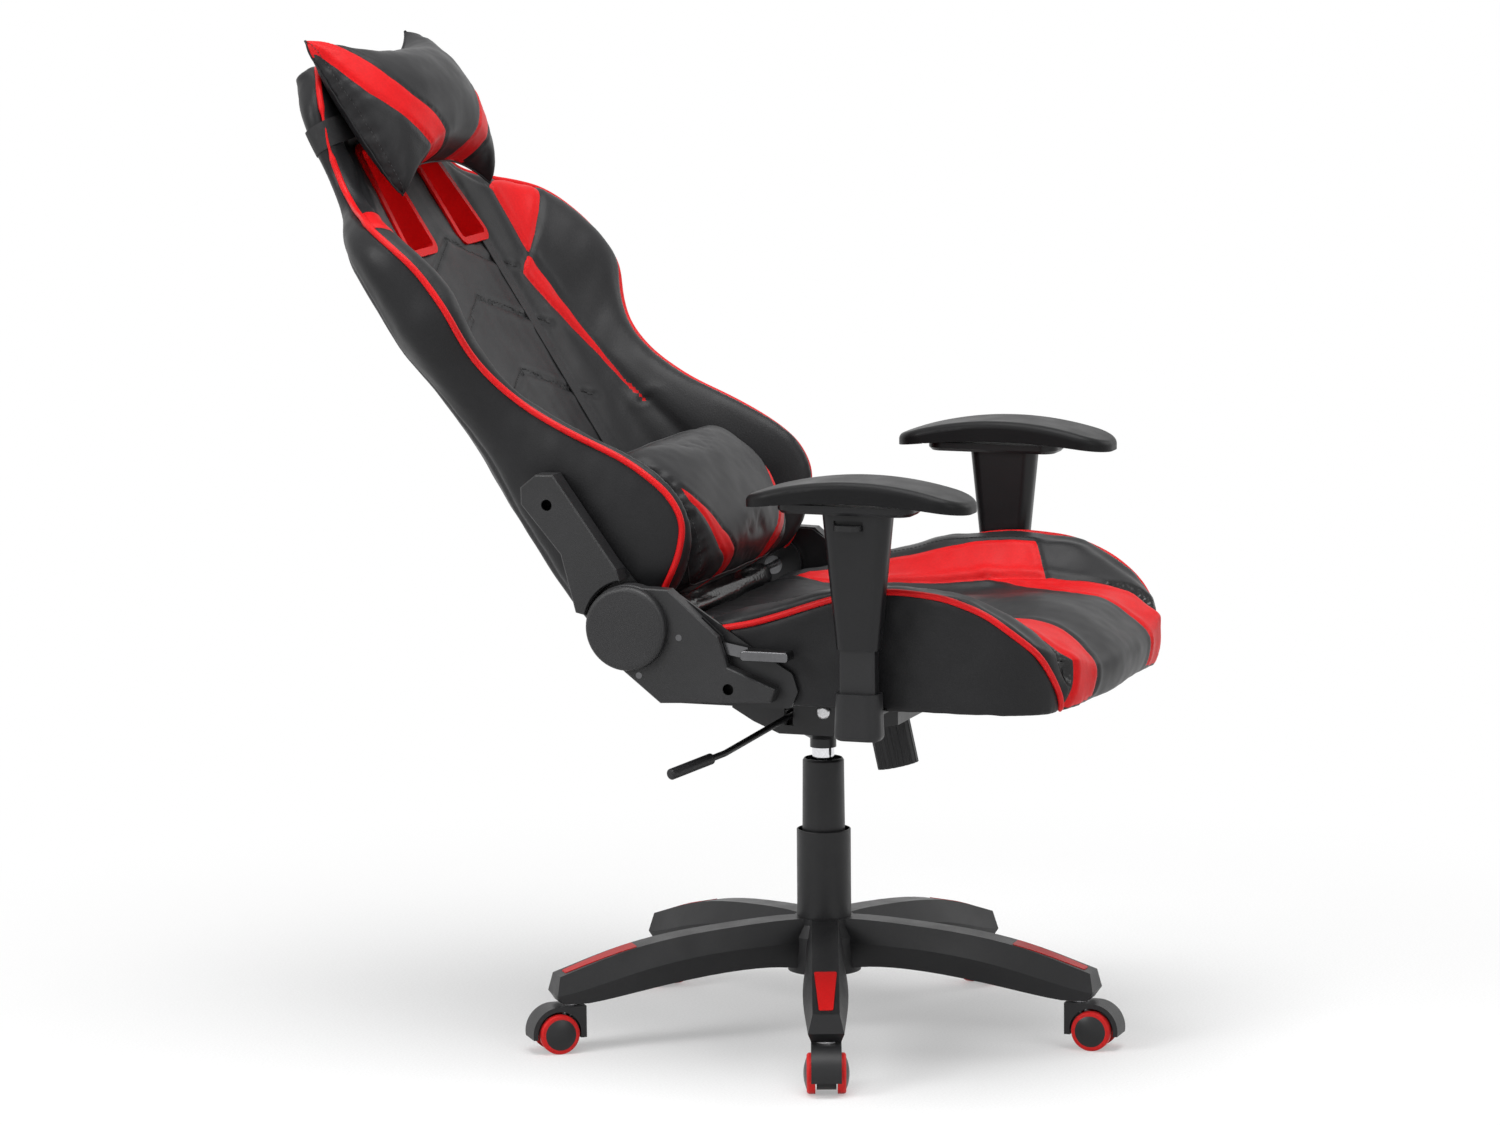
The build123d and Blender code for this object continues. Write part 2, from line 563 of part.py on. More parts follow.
def make_mechanism():
    """Pressed tilt tray with its column socket, pivot bolt, tension spring and knob."""
    across = Plane.YZ
    tray = extrude(across * tray_outline(0), TRAY_HALF_WIDTH, both=True)
    tray -= extrude(across * tray_outline(TRAY_WALL), TRAY_HALF_WIDTH - TRAY_WALL, both=True)
    socket = Cylinder(COLLAR_RADIUS + 3, PRESSURE_TUBE_TOP - TRAY_FLOOR,
                      align=(Align.CENTER, Align.CENTER, Align.MIN))
    tray += Pos(0, 0, TRAY_FLOOR) * socket
    tray += Pos(0, 0, COLLAR_BOTTOM) * Cylinder(
        COLLAR_RADIUS, TRAY_FLOOR - COLLAR_BOTTOM + 1, align=(Align.CENTER, Align.CENTER, Align.MIN))
    dish = Cone(COLLAR_RADIUS, COLLAR_RADIUS + 22, TRAY_FLOOR - COLLAR_BOTTOM - 11,
                align=(Align.CENTER, Align.CENTER, Align.MIN))
    tray += Pos(0, 0, COLLAR_BOTTOM + 11) * dish
    tray -= tube(PRESSURE_TUBE_RADIUS, 0, COLLAR_BOTTOM - 1, PRESSURE_TUBE_TOP + 1)
    tray -= Pos(0, PIVOT_Y, PIVOT_Z) * Rot(0, 90, 0) * Cylinder(PIVOT_RADIUS, 200)
    tray -= extrude(knob_plane(-20) * Circle(KNOB_BOLT_RADIUS + RUNNING_FIT), 60)
    lever_slot = Pos(-TRAY_HALF_WIDTH, LEVER_Y, LEVER_Z) * Box(4 * TRAY_WALL, 12, 22)
    tray -= lever_slot
    pin_plane = Plane(origin=(LEVER_PIN_X, LEVER_Y, LEVER_Z), x_dir=(1, 0, 0), z_dir=(0, 1, 0))
    ear_inner = LEVER_ROD_RADIUS + SLIDING_GAP
    ear_outer = ear_inner + LEVER_EAR_THICKNESS
    for low, high in ((-ear_outer, -ear_inner), (ear_inner, ear_outer)):
        tray += block((LEVER_PIN_X - LEVER_EAR_LENGTH / 2, LEVER_Y + low, TRAY_FLOOR + 1),
                      (LEVER_PIN_X + LEVER_EAR_LENGTH / 2, LEVER_Y + high,
                       LEVER_Z + LEVER_EAR_LENGTH / 2))
    tray -= extrude(pin_plane * Circle(LEVER_PIN_RADIUS + RUNNING_FIT), ear_outer + 1, both=True)
    save("tilt_housing", tray)

    flange_outer = FLANGE_INNER + FLANGE_THICKNESS
    head_at = flange_outer + SLIDING_GAP
    bolt = rod((-head_at - 1, PIVOT_Y, PIVOT_Z), (head_at + 1, PIVOT_Y, PIVOT_Z), PIVOT_RADIUS)
    for side in (-1, 1):
        head = rod((side * head_at, PIVOT_Y, PIVOT_Z),
                   (side * (head_at + PIVOT_HEAD_HEIGHT), PIVOT_Y, PIVOT_Z), PIVOT_HEAD_RADIUS)
        rim = head.edges().sort_by(Axis.X)[0 if side < 0 else -1]
        bolt += fillet(rim, PIVOT_HEAD_HEIGHT - 0.5)
    save("pivot_bolt", bolt)

    spring_bottom, pitch = TRAY_WALL + SLIDING_GAP, 2 * SPRING_WIRE_RADIUS + 0.6
    middle = SPRING_OUTER_RADIUS - SPRING_WIRE_RADIUS
    coil = Pos(middle, SPRING_COILS * pitch / 2) * Rectangle(1.6, SPRING_COILS * pitch)
    for k in range(SPRING_COILS):
        coil += Pos(middle, (k + 0.5) * pitch) * Circle(SPRING_WIRE_RADIUS)
    upright = revolve(Plane.XZ * coil, Axis.Z)
    save("tension_spring", knob_plane(spring_bottom).location * upright)

    body = Circle(KNOB_RADIUS)
    flutes = PolarLocations(KNOB_RADIUS + 1.5, KNOB_FLUTES)
    for place in flutes:
        body -= place * Circle(1.5 + KNOB_FLUTE_DEPTH)
    knob = extrude(knob_plane(-KNOB_LENGTH) * body, KNOB_LENGTH - SLIDING_GAP)
    spring_top = spring_bottom + SPRING_COILS * pitch + SLIDING_GAP
    knob += extrude(knob_plane(-1) * Circle(KNOB_BOLT_RADIUS), spring_top + 1)
    knob += extrude(knob_plane(spring_top) * Circle(SPRING_OUTER_RADIUS - 2), 4)
    save("tension_knob", knob)

    start = Vector(LEVER_PIN_X + LEVER_EAR_LENGTH / 2, LEVER_Y, LEVER_Z)
    knee, tip = Vector(*LEVER_KNEE), Vector(*LEVER_TIP)
    path = FilletPolyline(start, start + Vector(-24, 0, 0), knee, tip, radius=20)
    profile = Plane(origin=start, z_dir=(-1, 0, 0)) * Circle(LEVER_ROD_RADIUS)
    lever = sweep(profile, path=path)
    lever += extrude(pin_plane * Circle(LEVER_PIN_RADIUS), ear_outer, both=True)
    save("gas_lever_rod", lever)
    along = (tip - knee).normalized()
    grip_plane = Plane(origin=knee + along * 22, z_dir=along)
    grip_length = (tip - knee).length - 22 + 4
    grip = extrude(grip_plane * Circle(LEVER_GRIP_RADIUS), grip_length)
    grip = fillet(grip.edges().filter_by(GeomType.CIRCLE), 3)
    grip -= extrude(grip_plane * Circle(LEVER_ROD_RADIUS), (tip - knee).length - 22)
    save("gas_lever_grip", grip)


# ---- seat -------------------------------------------------------------------------------------
def seat_section(x, crest, surface, front, nose):
    """Fore-and-aft section of the seat cushion: flat foot, sculpted top, upright rear."""
    top = Spline(
        (front + SEAT_FRONT_TUCK, SEAT_BOTTOM), (front, nose),
        (front + 52, surface - 6 + crest * 0.3),
        (SEAT_CREST_Y, surface + crest), (-40.0, surface + crest * 0.55),
        (60.0, surface - 4 + crest * 0.05), (SEAT_REAR, SEAT_REAR_TOP),
    )
    foot = Line((SEAT_REAR, SEAT_BOTTOM), (front + SEAT_FRONT_TUCK, SEAT_BOTTOM))
    rear = Line((SEAT_REAR, SEAT_REAR_TOP), (SEAT_REAR, SEAT_BOTTOM))
    plane = Plane(origin=(x, 0, 0), x_dir=(0, 1, 0), z_dir=(1, 0, 0))
    return plane * make_face([foot, top, rear])


def seat_plan():
    """Plan outline of the cushion: straight sides, then front corners drawn in to the nose."""
    left = [(-x, y) for x, y in reversed(SEAT_CORNER)]
    rear = SEAT_REAR + 10
    corner = Spline(*SEAT_CORNER, tangents=((0, -1), (-1, -0.3)))
    mirrored = Spline(*left, tangents=((-1, 0.3), (0, 1)))
    front = Line(SEAT_CORNER[-1], left[0])
    sides = Polyline(left[-1], (-SEAT_HALF_WIDTH, rear), (SEAT_HALF_WIDTH, rear), SEAT_CORNER[0])
    return make_face([corner, front, mirrored, sides])


def make_seat():
    """Seat cushion, plywood pan, mechanism plate and screws."""
    rise = SEAT_CREST - SEAT_SURFACE
    dish_front = SEAT_FRONT_CENTRE
    half_sections = (
        (SEAT_HALF_WIDTH, rise, SEAT_FRONT_SIDE, SEAT_NOSE - SEAT_NOSE_DROP),
        (SEAT_BOLSTER_CREST_X, rise + SEAT_BOLSTER_RISE, SEAT_FRONT_SIDE - 2, SEAT_NOSE),
        (SEAT_DISH_HALF_WIDTH, 6.0, dish_front + 4, SEAT_NOSE),
        (SEAT_FLAT_HALF_WIDTH, 2.0, dish_front, SEAT_NOSE),
    )
    stations = [(-x, *rest) for x, *rest in half_sections]
    stations += [(x, *rest) for x, *rest in reversed(half_sections)]
    faces = [seat_section(x, crest, SEAT_SURFACE, front, top) for x, crest, front, top in stations]
    cushion = loft(faces)
    cushion &= extrude(Plane.XY.offset(SEAT_BOTTOM) * seat_plan(), 200)
    notch = slab(Circle(DISC_RADIUS + 5), side_plane, UPPER_BRACKET_INNER - 2, SEAT_HALF_WIDTH + 5)
    save("seat_cushion", cushion - notch - notch.mirror(Plane.YZ))

    pan = block((-SEAT_PAN_HALF_WIDTH, SEAT_PAN_FRONT, SEAT_PAN_BOTTOM),
                (SEAT_PAN_HALF_WIDTH, SEAT_REAR - 5, SEAT_BOTTOM))
    corners = pan.edges().filter_by(Axis.Z).group_by(Axis.Y)
    pan = fillet(corners[0], SEAT_PAN_FRONT_CORNER)
    pan = fillet(pan.edges().filter_by(Axis.Z).group_by(Axis.Y)[-1], SEAT_PAN_REAR_CORNER)
    screws = [
        (x, y) for x in (-SEAT_PLATE_HALF_WIDTH + 15, SEAT_PLATE_HALF_WIDTH - 15)
        for y in (SEAT_PLATE_FRONT + 18, SEAT_PLATE_REAR - 18)
    ]
    plate = block((-SEAT_PLATE_HALF_WIDTH, SEAT_PLATE_FRONT, PLATE_BOTTOM),
                  (SEAT_PLATE_HALF_WIDTH, SEAT_PLATE_REAR, SEAT_PAN_BOTTOM))
    plate = fillet(plate.edges().filter_by(Axis.Z), 12)
    for side in (-1, 1):
        inner, outer = side * FLANGE_INNER, side * (FLANGE_INNER + FLANGE_THICKNESS)
        flange = block((min(inner, outer), PIVOT_Y - FLANGE_HALF_LENGTH, FLANGE_BOTTOM),
                       (max(inner, outer), PIVOT_Y + FLANGE_HALF_LENGTH, PLATE_BOTTOM + 1))
        plate += fillet(flange.edges().filter_by(Axis.X).group_by(Axis.Z)[0], 12)
    plate -= Pos(0, PIVOT_Y, PIVOT_Z) * Rot(0, 90, 0) * Cylinder(PIVOT_RADIUS + RUNNING_FIT, 200)

    heads = []
    for x, y in screws:
        shank = Pos(x, y, PLATE_BOTTOM) * Cylinder(
            SEAT_SCREW_RADIUS, SEAT_SCREW_LENGTH, align=(Align.CENTER, Align.CENTER, Align.MIN))
        head = Pos(x, y, PLATE_BOTTOM) * Cylinder(
            SEAT_SCREW_HEAD_RADIUS, SEAT_SCREW_HEAD, align=(Align.CENTER, Align.CENTER, Align.MAX))
        hole = Pos(x, y, PLATE_BOTTOM) * Cylinder(
            SEAT_SCREW_RADIUS, 2 * SEAT_SCREW_LENGTH, align=(Align.CENTER, Align.CENTER, Align.CENTER))
        plate -= hole
        pan -= hole
        heads.append(shank + head)
    save("seat_pan", pan)
    save("seat_plate", plate)
    save("seat_screws", *heads)


# ---- arms -------------------------------------------------------------------------------------
def rounded_column(length, thickness, radius, height):
    """Rounded rectangle at the arm's post, in a level plane."""
    outline = RectangleRounded(thickness, length, radius)
    return Plane(origin=(-ARM_X, ARM_Y, height)) * outline


def make_arms():
    """Steel posts, foot covers, and on each side the height-adjustable sleeve, pad and trigger."""
    post = extrude(rounded_column(POST_LENGTH, POST_THICKNESS, 4, PLATE_BOTTOM),
                   POST_TOP - PLATE_BOTTOM)
    post += block((-ARM_X - POST_THICKNESS / 2 + 4, ARM_Y - POST_LENGTH / 2, PLATE_BOTTOM),
                  (-ARM_PLATE_INNER, ARM_Y + POST_LENGTH / 2, SEAT_PAN_BOTTOM))
    save("arm_posts", pair(post))

    foot = loft([
        rounded_column(FOOT_LENGTH, FOOT_THICKNESS, FOOT_CORNER_RADIUS, FOOT_TOP),
        rounded_column(FOOT_LENGTH + FOOT_FLARE, FOOT_THICKNESS + 2, FOOT_CORNER_RADIUS,
                       FOOT_BOTTOM),
    ])
    foot = fillet(foot.edges().group_by(Axis.Z)[0], FOOT_RIM_RADIUS)
    slot = block((-ARM_X, ARM_Y - POST_LENGTH / 2, PLATE_BOTTOM),
                 (-ARM_X + FOOT_THICKNESS, ARM_Y + POST_LENGTH / 2, SEAT_PAN_BOTTOM))
    foot -= slot
    foot -= extrude(rounded_column(POST_LENGTH, POST_THICKNESS, 4, PLATE_BOTTOM), 100)
    save("arm_feet", pair(foot))

    sleeve = loft([
        rounded_column(SLEEVE_BOTTOM_LENGTH, SLEEVE_BOTTOM_THICKNESS, SLEEVE_BOTTOM_CORNER,
                       SLEEVE_BOTTOM),
        rounded_column(SLEEVE_TOP_LENGTH, SLEEVE_TOP_THICKNESS, SLEEVE_TOP_CORNER, SLEEVE_TOP),
    ])
    plate_top = SLEEVE_TOP + PAD_PLATE_THICKNESS
    plate = block((-ARM_X - PAD_PLATE_HALF_WIDTH, PAD_PLATE_FRONT, SLEEVE_TOP),
                  (-ARM_X + PAD_PLATE_HALF_WIDTH, PAD_PLATE_REAR, plate_top))
    plate = fillet(plate.edges().filter_by(Axis.Z), 20)
    sleeve += chamfer(plate.edges().group_by(Axis.Z)[0], 4)
    sleeve -= extrude(rounded_column(POST_LENGTH + 2 * SLIDING_GAP, POST_THICKNESS + 2 * SLIDING_GAP,
                                     4, SLEEVE_BOTTOM - 1), SLEEVE_TOP - SLEEVE_CROWN - SLEEVE_BOTTOM)

    travel = TRIGGER_TRAVEL + SLIDING_GAP
    face = -ARM_X - SLEEVE_TOP_THICKNESS / 2
    pocket = block((face - 20, TRIGGER_Y - TRIGGER_WIDTH / 2 - SLIDING_GAP,
                    TRIGGER_Z - TRIGGER_HEIGHT / 2 - SLIDING_GAP),
                   (face + TRIGGER_POCKET, TRIGGER_Y + TRIGGER_WIDTH / 2 + SLIDING_GAP,
                    TRIGGER_Z + TRIGGER_HEIGHT / 2 + travel))
    sleeve -= pocket
    trigger = block((face - TRIGGER_REACH, TRIGGER_Y - TRIGGER_WIDTH / 2,
                     TRIGGER_Z - TRIGGER_HEIGHT / 2),
                    (face + TRIGGER_POCKET - SLIDING_GAP, TRIGGER_Y + TRIGGER_WIDTH / 2,
                     TRIGGER_Z + TRIGGER_HEIGHT / 2))
    trigger = fillet(trigger.edges().filter_by(Axis.Z).group_by(Axis.X)[0], TRIGGER_CORNER)

    middle = 0.5 * (PAD_REAR + PAD_FRONT)
    top = ThreePointArc((PAD_FRONT, PAD_END_TOP), (middle, PAD_TOP), (PAD_REAR, PAD_END_TOP))
    under = ThreePointArc((PAD_REAR, PAD_END_TOP - PAD_THICKNESS / 2),
                          (middle, PAD_TOP - PAD_THICKNESS),
                          (PAD_FRONT, PAD_END_TOP - PAD_THICKNESS / 2))
    rear_end = Line((PAD_REAR, PAD_END_TOP), (PAD_REAR, PAD_END_TOP - PAD_THICKNESS / 2))
    front_end = Line((PAD_FRONT, PAD_END_TOP - PAD_THICKNESS / 2), (PAD_FRONT, PAD_END_TOP))
    outline = make_face([top, rear_end, under, front_end])
    plane = Plane(origin=(-ARM_X, 0, 0), x_dir=(0, 1, 0), z_dir=(1, 0, 0))
    pad = extrude(plane * outline, PAD_HALF_WIDTH, both=True)
    pad = fillet(pad.edges().filter_by(Axis.Z), PAD_CORNER_RADIUS)
    pad = fillet(pad.edges().group_by(Axis.Z)[-1], PAD_EDGE_RADIUS)
    pad -= block((-ARM_X - PAD_HALF_WIDTH - 5, PAD_PLATE_FRONT - SLIDING_GAP, SLEEVE_TOP - 30),
                 (-ARM_X + PAD_HALF_WIDTH + 5, PAD_PLATE_REAR + SLIDING_GAP, plate_top))

    for name, shape in (("arm_sleeve", sleeve), ("arm_pad", pad), ("arm_trigger", trigger)):
        save(f"{name}_right", shape)
        save(f"{name}_left", shape.mirror(Plane.YZ))


# ---- recliner ---------------------------------------------------------------------------------
def lower_cover_sketch(inset=0.0):
    """Outline of the seat-side recliner cover about the hub, from hub disc to pointed toe."""
    toe = make_face(Polyline(
        (-8.0, 50.0), (-52.0, 49.0), (-116.0, -6.0), (-128.0, -43.0), (-189.0, -67.0),
        (-183.0, -84.0), (-41.0, -91.0), (11.0, -50.0), close=True,
    ))
    outline = Circle(CAP_RADIUS + 1) + toe
    return offset(outline, -inset, kind=Kind.INTERSECTION) if inset else outline


def backing_sketch():
    """Outline of the seat-side steel bracket, which shows past the cover's toe."""
    foot = PLATE_BOTTOM - HINGE_Z
    toe = make_face(Polyline(
        (-8.0, 49.0), (-50.0, 47.0), (-150.0, -18.0), (-205.0, -50.0), (-212.0, -72.0),
        (-203.0, foot), (-41.0, foot), (9.0, -50.0), close=True,
    ))
    return Circle(CAP_RADIUS - 0.5) + rounded(toe, 7)


def arm_cover_sketch(inset=0.0):
    """Outline of the back-side recliner cover in (u, v), hollowed around the hub cap."""
    arm = make_face(Polyline(
        (68.0, 25.0), (207.0, 17.0), (219.0, -3.0), (216.0, -28.0), (198.0, -39.0),
        (120.0, -28.0), (50.0, -50.0), (20.0, -20.0), (20.0, 10.0), close=True,
    ))
    arm = offset(arm, -inset, kind=Kind.INTERSECTION) if inset else arm
    return arm - Circle(CAP_RADIUS + 1 + ARM_COVER_GAP + inset)


def make_recliner():
    """Ratchet recliner on both sides: brackets, discs, covers, handle, cross rod and spring."""
    upper_arm = make_face(Polyline((0.0, 34.0), (190.0, 8.0), (206.0, -14.0), (190.0, -30.0),
                                   (60.0, -30.0), (0.0, -34.0), close=True))
    upper = slab(Circle(DISC_RADIUS) + upper_arm, back_side_plane,
                 UPPER_BRACKET_INNER, UPPER_BRACKET_OUTER - SLIDING_GAP)
    hub_bore = Rot(0, 90, 0) * Cylinder(HINGE_BOSS_RADIUS + RUNNING_FIT, 4 * ARM_X)
    save("recliner_upper_brackets", BACK_PLACE * pair(upper - hub_bore))

    arm_depth = COVER_OUTER - 2 - UPPER_BRACKET_OUTER
    arm_cover = slab(arm_cover_sketch(), back_side_plane, UPPER_BRACKET_OUTER - SLIDING_GAP,
                     COVER_OUTER - 2)
    outer_face = arm_cover.faces().sort_by(Axis.X)[0]
    arm_cover = chamfer(outer_face.edges(), 2.0)
    arm_cover -= slab(arm_cover_sketch(COVER_SHELL), back_side_plane,
                      UPPER_BRACKET_OUTER - SLIDING_GAP, COVER_OUTER - 2 - COVER_SHELL)
    arm_cover -= slab(Pos(FRAME_BOSS_HIGH, FRAME_BOSS_V) * Circle(SCREW_HOLE_RADIUS),
                      back_side_plane, COVER_OUTER - 2 - arm_depth, COVER_OUTER + 1)
    save("recliner_upper_covers", BACK_PLACE * pair(arm_cover))

    hub = Pos(0, HINGE_Y, HINGE_Z) * Rot(0, 90, 0)
    lower = slab(backing_sketch(), side_plane, LOWER_BRACKET_INNER, LOWER_BRACKET_OUTER)
    lower += block((-LOWER_BRACKET_OUTER, HINGE_Y - BRACKET_FLANGE_FRONT, PLATE_BOTTOM),
                   (-BRACKET_FLANGE_INNER, HINGE_Y - BRACKET_FLANGE_REAR, SEAT_PAN_BOTTOM))
    lower -= hub * Cylinder(HINGE_BOSS_RADIUS, 4 * ARM_X)
    save("recliner_lower_brackets", pair(lower))

    disc = slab(Circle(DISC_RADIUS), side_plane, UPPER_BRACKET_OUTER, LOWER_BRACKET_INNER)
    disc += slab(Circle(HINGE_BOSS_RADIUS), side_plane, UPPER_BRACKET_INNER, LOWER_BRACKET_OUTER)
    disc -= hub * Cylinder(CROSS_ROD_RADIUS + RUNNING_FIT, 4 * ARM_X)
    save("recliner_discs", pair(disc))

    cover = slab(lower_cover_sketch(), side_plane, LOWER_BRACKET_OUTER, COVER_OUTER)
    cover = chamfer(cover.faces().sort_by(Axis.X)[0].edges(), 1.5)
    cover -= slab(lower_cover_sketch(COVER_SHELL), side_plane, LOWER_BRACKET_OUTER,
                  COVER_OUTER - COVER_SHELL)
    cover -= slab(Pos(-129.0, -70.0) * Circle(SCREW_HOLE_RADIUS), side_plane,
                  LOWER_BRACKET_OUTER, COVER_OUTER + 1)
    exit_low, exit_high = -HANDLE_DROP - HANDLE_HEIGHT, HANDLE_SWING / 2
    handle_exit = Pos(-HANDLE_REACH + 35, (exit_low + exit_high) / 2) * Rectangle(
        80, exit_high - exit_low)
    cover -= slab(handle_exit, side_plane, HANDLE_INNER - 1.5, HANDLE_INNER + HANDLE_THICKNESS + 1.5)
    screws = []
    for y, z in COVER_SCREW_PLACES:
        screw = slab(Pos(y, z) * Circle(COVER_SCREW_RADIUS), side_plane,
                     COVER_OUTER - COVER_SCREW_SINK, COVER_OUTER + COVER_SCREW_PROUD)
        cover -= screw
        screws.append(screw)
    save("recliner_lower_covers", pair(cover))
    save("cover_screws", pair(Compound(screws)))

    cap = slab(Circle(CAP_RADIUS), side_plane, COVER_OUTER, COVER_OUTER + CAP_HEIGHT)
    cap = fillet(cap.edges().sort_by(Axis.X)[0], CAP_EDGE_RADIUS)
    save("recliner_hub_caps", pair(cap))

    handle_end = HANDLE_INNER + HANDLE_THICKNESS
    slope = math.degrees(math.atan2(HANDLE_DROP, HANDLE_REACH))
    reach = math.hypot(HANDLE_REACH, HANDLE_DROP)
    strip = Rot(0, 0, slope) * Pos(-reach / 2, 0) * Rectangle(reach, HANDLE_HEIGHT)
    handle = slab(strip + Circle(HINGE_BOSS_RADIUS + 3), side_plane, HANDLE_INNER, handle_end)
    grip = Pos(-HANDLE_REACH - HANDLE_GRIP_LENGTH / 2 + 2, -HANDLE_DROP) * RectangleRounded(
        HANDLE_GRIP_LENGTH, HANDLE_GRIP_HEIGHT, 4)
    paddle = slab(grip, side_plane, HANDLE_INNER, HANDLE_INNER + HANDLE_GRIP_WIDTH)
    handle += fillet(paddle.edges().filter_by(Axis.X, reverse=True).group_by(Axis.X)[0], 1.5)
    handle += slab(Circle(HINGE_BOSS_RADIUS), side_plane, handle_end,
                   COVER_OUTER - COVER_SHELL - SLIDING_GAP)
    rod_end = COVER_OUTER - COVER_SHELL - 2
    handle -= slab(Circle(CROSS_ROD_RADIUS), side_plane, 0, rod_end)
    save("recline_handle", handle)
    cross = rod((-rod_end, HINGE_Y, HINGE_Z), (UPPER_BRACKET_INNER + 15, HINGE_Y, HINGE_Z),
                CROSS_ROD_RADIUS)
    save("recliner_cross_rod", cross)

    spring = Circle(RETURN_SPRING_RADIUS) - Circle(HINGE_BOSS_RADIUS + SLIDING_GAP)
    spring_end = COVER_OUTER - COVER_SHELL - SLIDING_GAP
    save("recliner_spring", slab(spring, side_plane, spring_end - RETURN_SPRING_WIDTH, spring_end))


# ---- back -------------------------------------------------------------------------------------
def back_section(height, half, crest, panel, rear_side, rear_middle, valley):
    """Level section of the back cushion: crowned rear, upright sides, bolsters and a flat panel."""
    depth = crest - rear_side
    right = [
        (0.5 * half, rear_middle + 0.3 * (rear_side - rear_middle)),
        (half - 22, rear_side),
        (half - 4, rear_side + 0.26 * depth),
        (half, rear_side + 0.52 * depth),
        (half - 5, crest - 0.18 * depth),
        (half - 20, crest),
        (half - 0.45 * (half - valley), crest + 0.3 * (panel - crest)),
        (valley + 8, panel + 0.08 * (crest - panel)),
        (0.6 * valley, panel),
    ]
    left = [(-x, v) for x, v in reversed(right)]
    points = [(0, rear_middle), *right, (0, panel), *left]
    loop = Spline([(x, -v) for x, v in points], periodic=True)
    return Plane.XY.offset(height) * make_face(loop)


BACK_STATIONS = (
    # height, half width, bolster crest, panel front, rear at the sides, rear middle, panel half
    (12.0, 236.0, 46.0, -50.0, -50.0, -92.0, 150.0),
    (72.0, 250.0, 121.0, -56.0, -60.0, -112.0, 150.0),
    (129.0, 251.0, 123.0, -56.0, -62.0, -117.0, 150.0),
    (190.0, 251.0, 94.0, -56.0, -64.0, -119.0, 150.0),
    (260.0, 251.0, 48.0, -56.0, -66.0, -120.0, 150.0),
    (340.0, 257.0, 10.0, -56.0, -70.0, -121.0, 150.0),
    (445.0, 299.0, 20.0, -56.0, -66.0, -122.0, 150.0),
    (525.0, 301.0, 8.0, -56.0, -68.0, -122.0, 145.0),
    (590.0, 272.0, -24.0, -56.0, -74.0, -121.0, 135.0),
    (650.0, 182.0, -60.0, -54.0, -88.0, -118.0, 110.0),
    (720.0, 172.0, -52.0, -46.0, -86.0, -114.0, 105.0),
    (785.0, 158.0, HEAD_CREST_V, HEAD_CREST_V, -78.0, -104.0, 95.0),
    (814.0, 132.0, -46.0, -46.0, -76.0, -86.0, 80.0),
)


def back_form(margin):
    """The back cushion before it is cut, grown by a margin all round its sections."""
    return loft([
        back_section(height, half + margin, crest + margin, panel + margin, rear_side - margin,
                     rear_middle - margin, valley)
        for height, half, crest, panel, rear_side, rear_middle, valley in BACK_STATIONS
    ])


def belt_hole(grow):
    """Tapered outline of one belt hole in (x, u), on the sitter's right."""
    inner, low, high = -BELT_HOLE_INNER + grow, BELT_HOLE_BOTTOM - grow, BELT_HOLE_TOP + grow
    outline = make_face(Polyline(
        (inner, low), (-BELT_HOLE_INNER - BELT_HOLE_BOTTOM_WIDTH - grow, low),
        (-BELT_HOLE_INNER - BELT_HOLE_TOP_WIDTH - grow, high), (inner, high), close=True,
    ))
    return rounded(outline, 12 + grow)


def through_back(sketch, front_v, rear_v):
    """Extrudes an (x, u) sketch through the back from its front to its rear."""
    plane = Plane(origin=(0, -front_v, 0), x_dir=(1, 0, 0), z_dir=(0, -1, 0))
    return extrude(plane * sketch, rear_v - front_v)


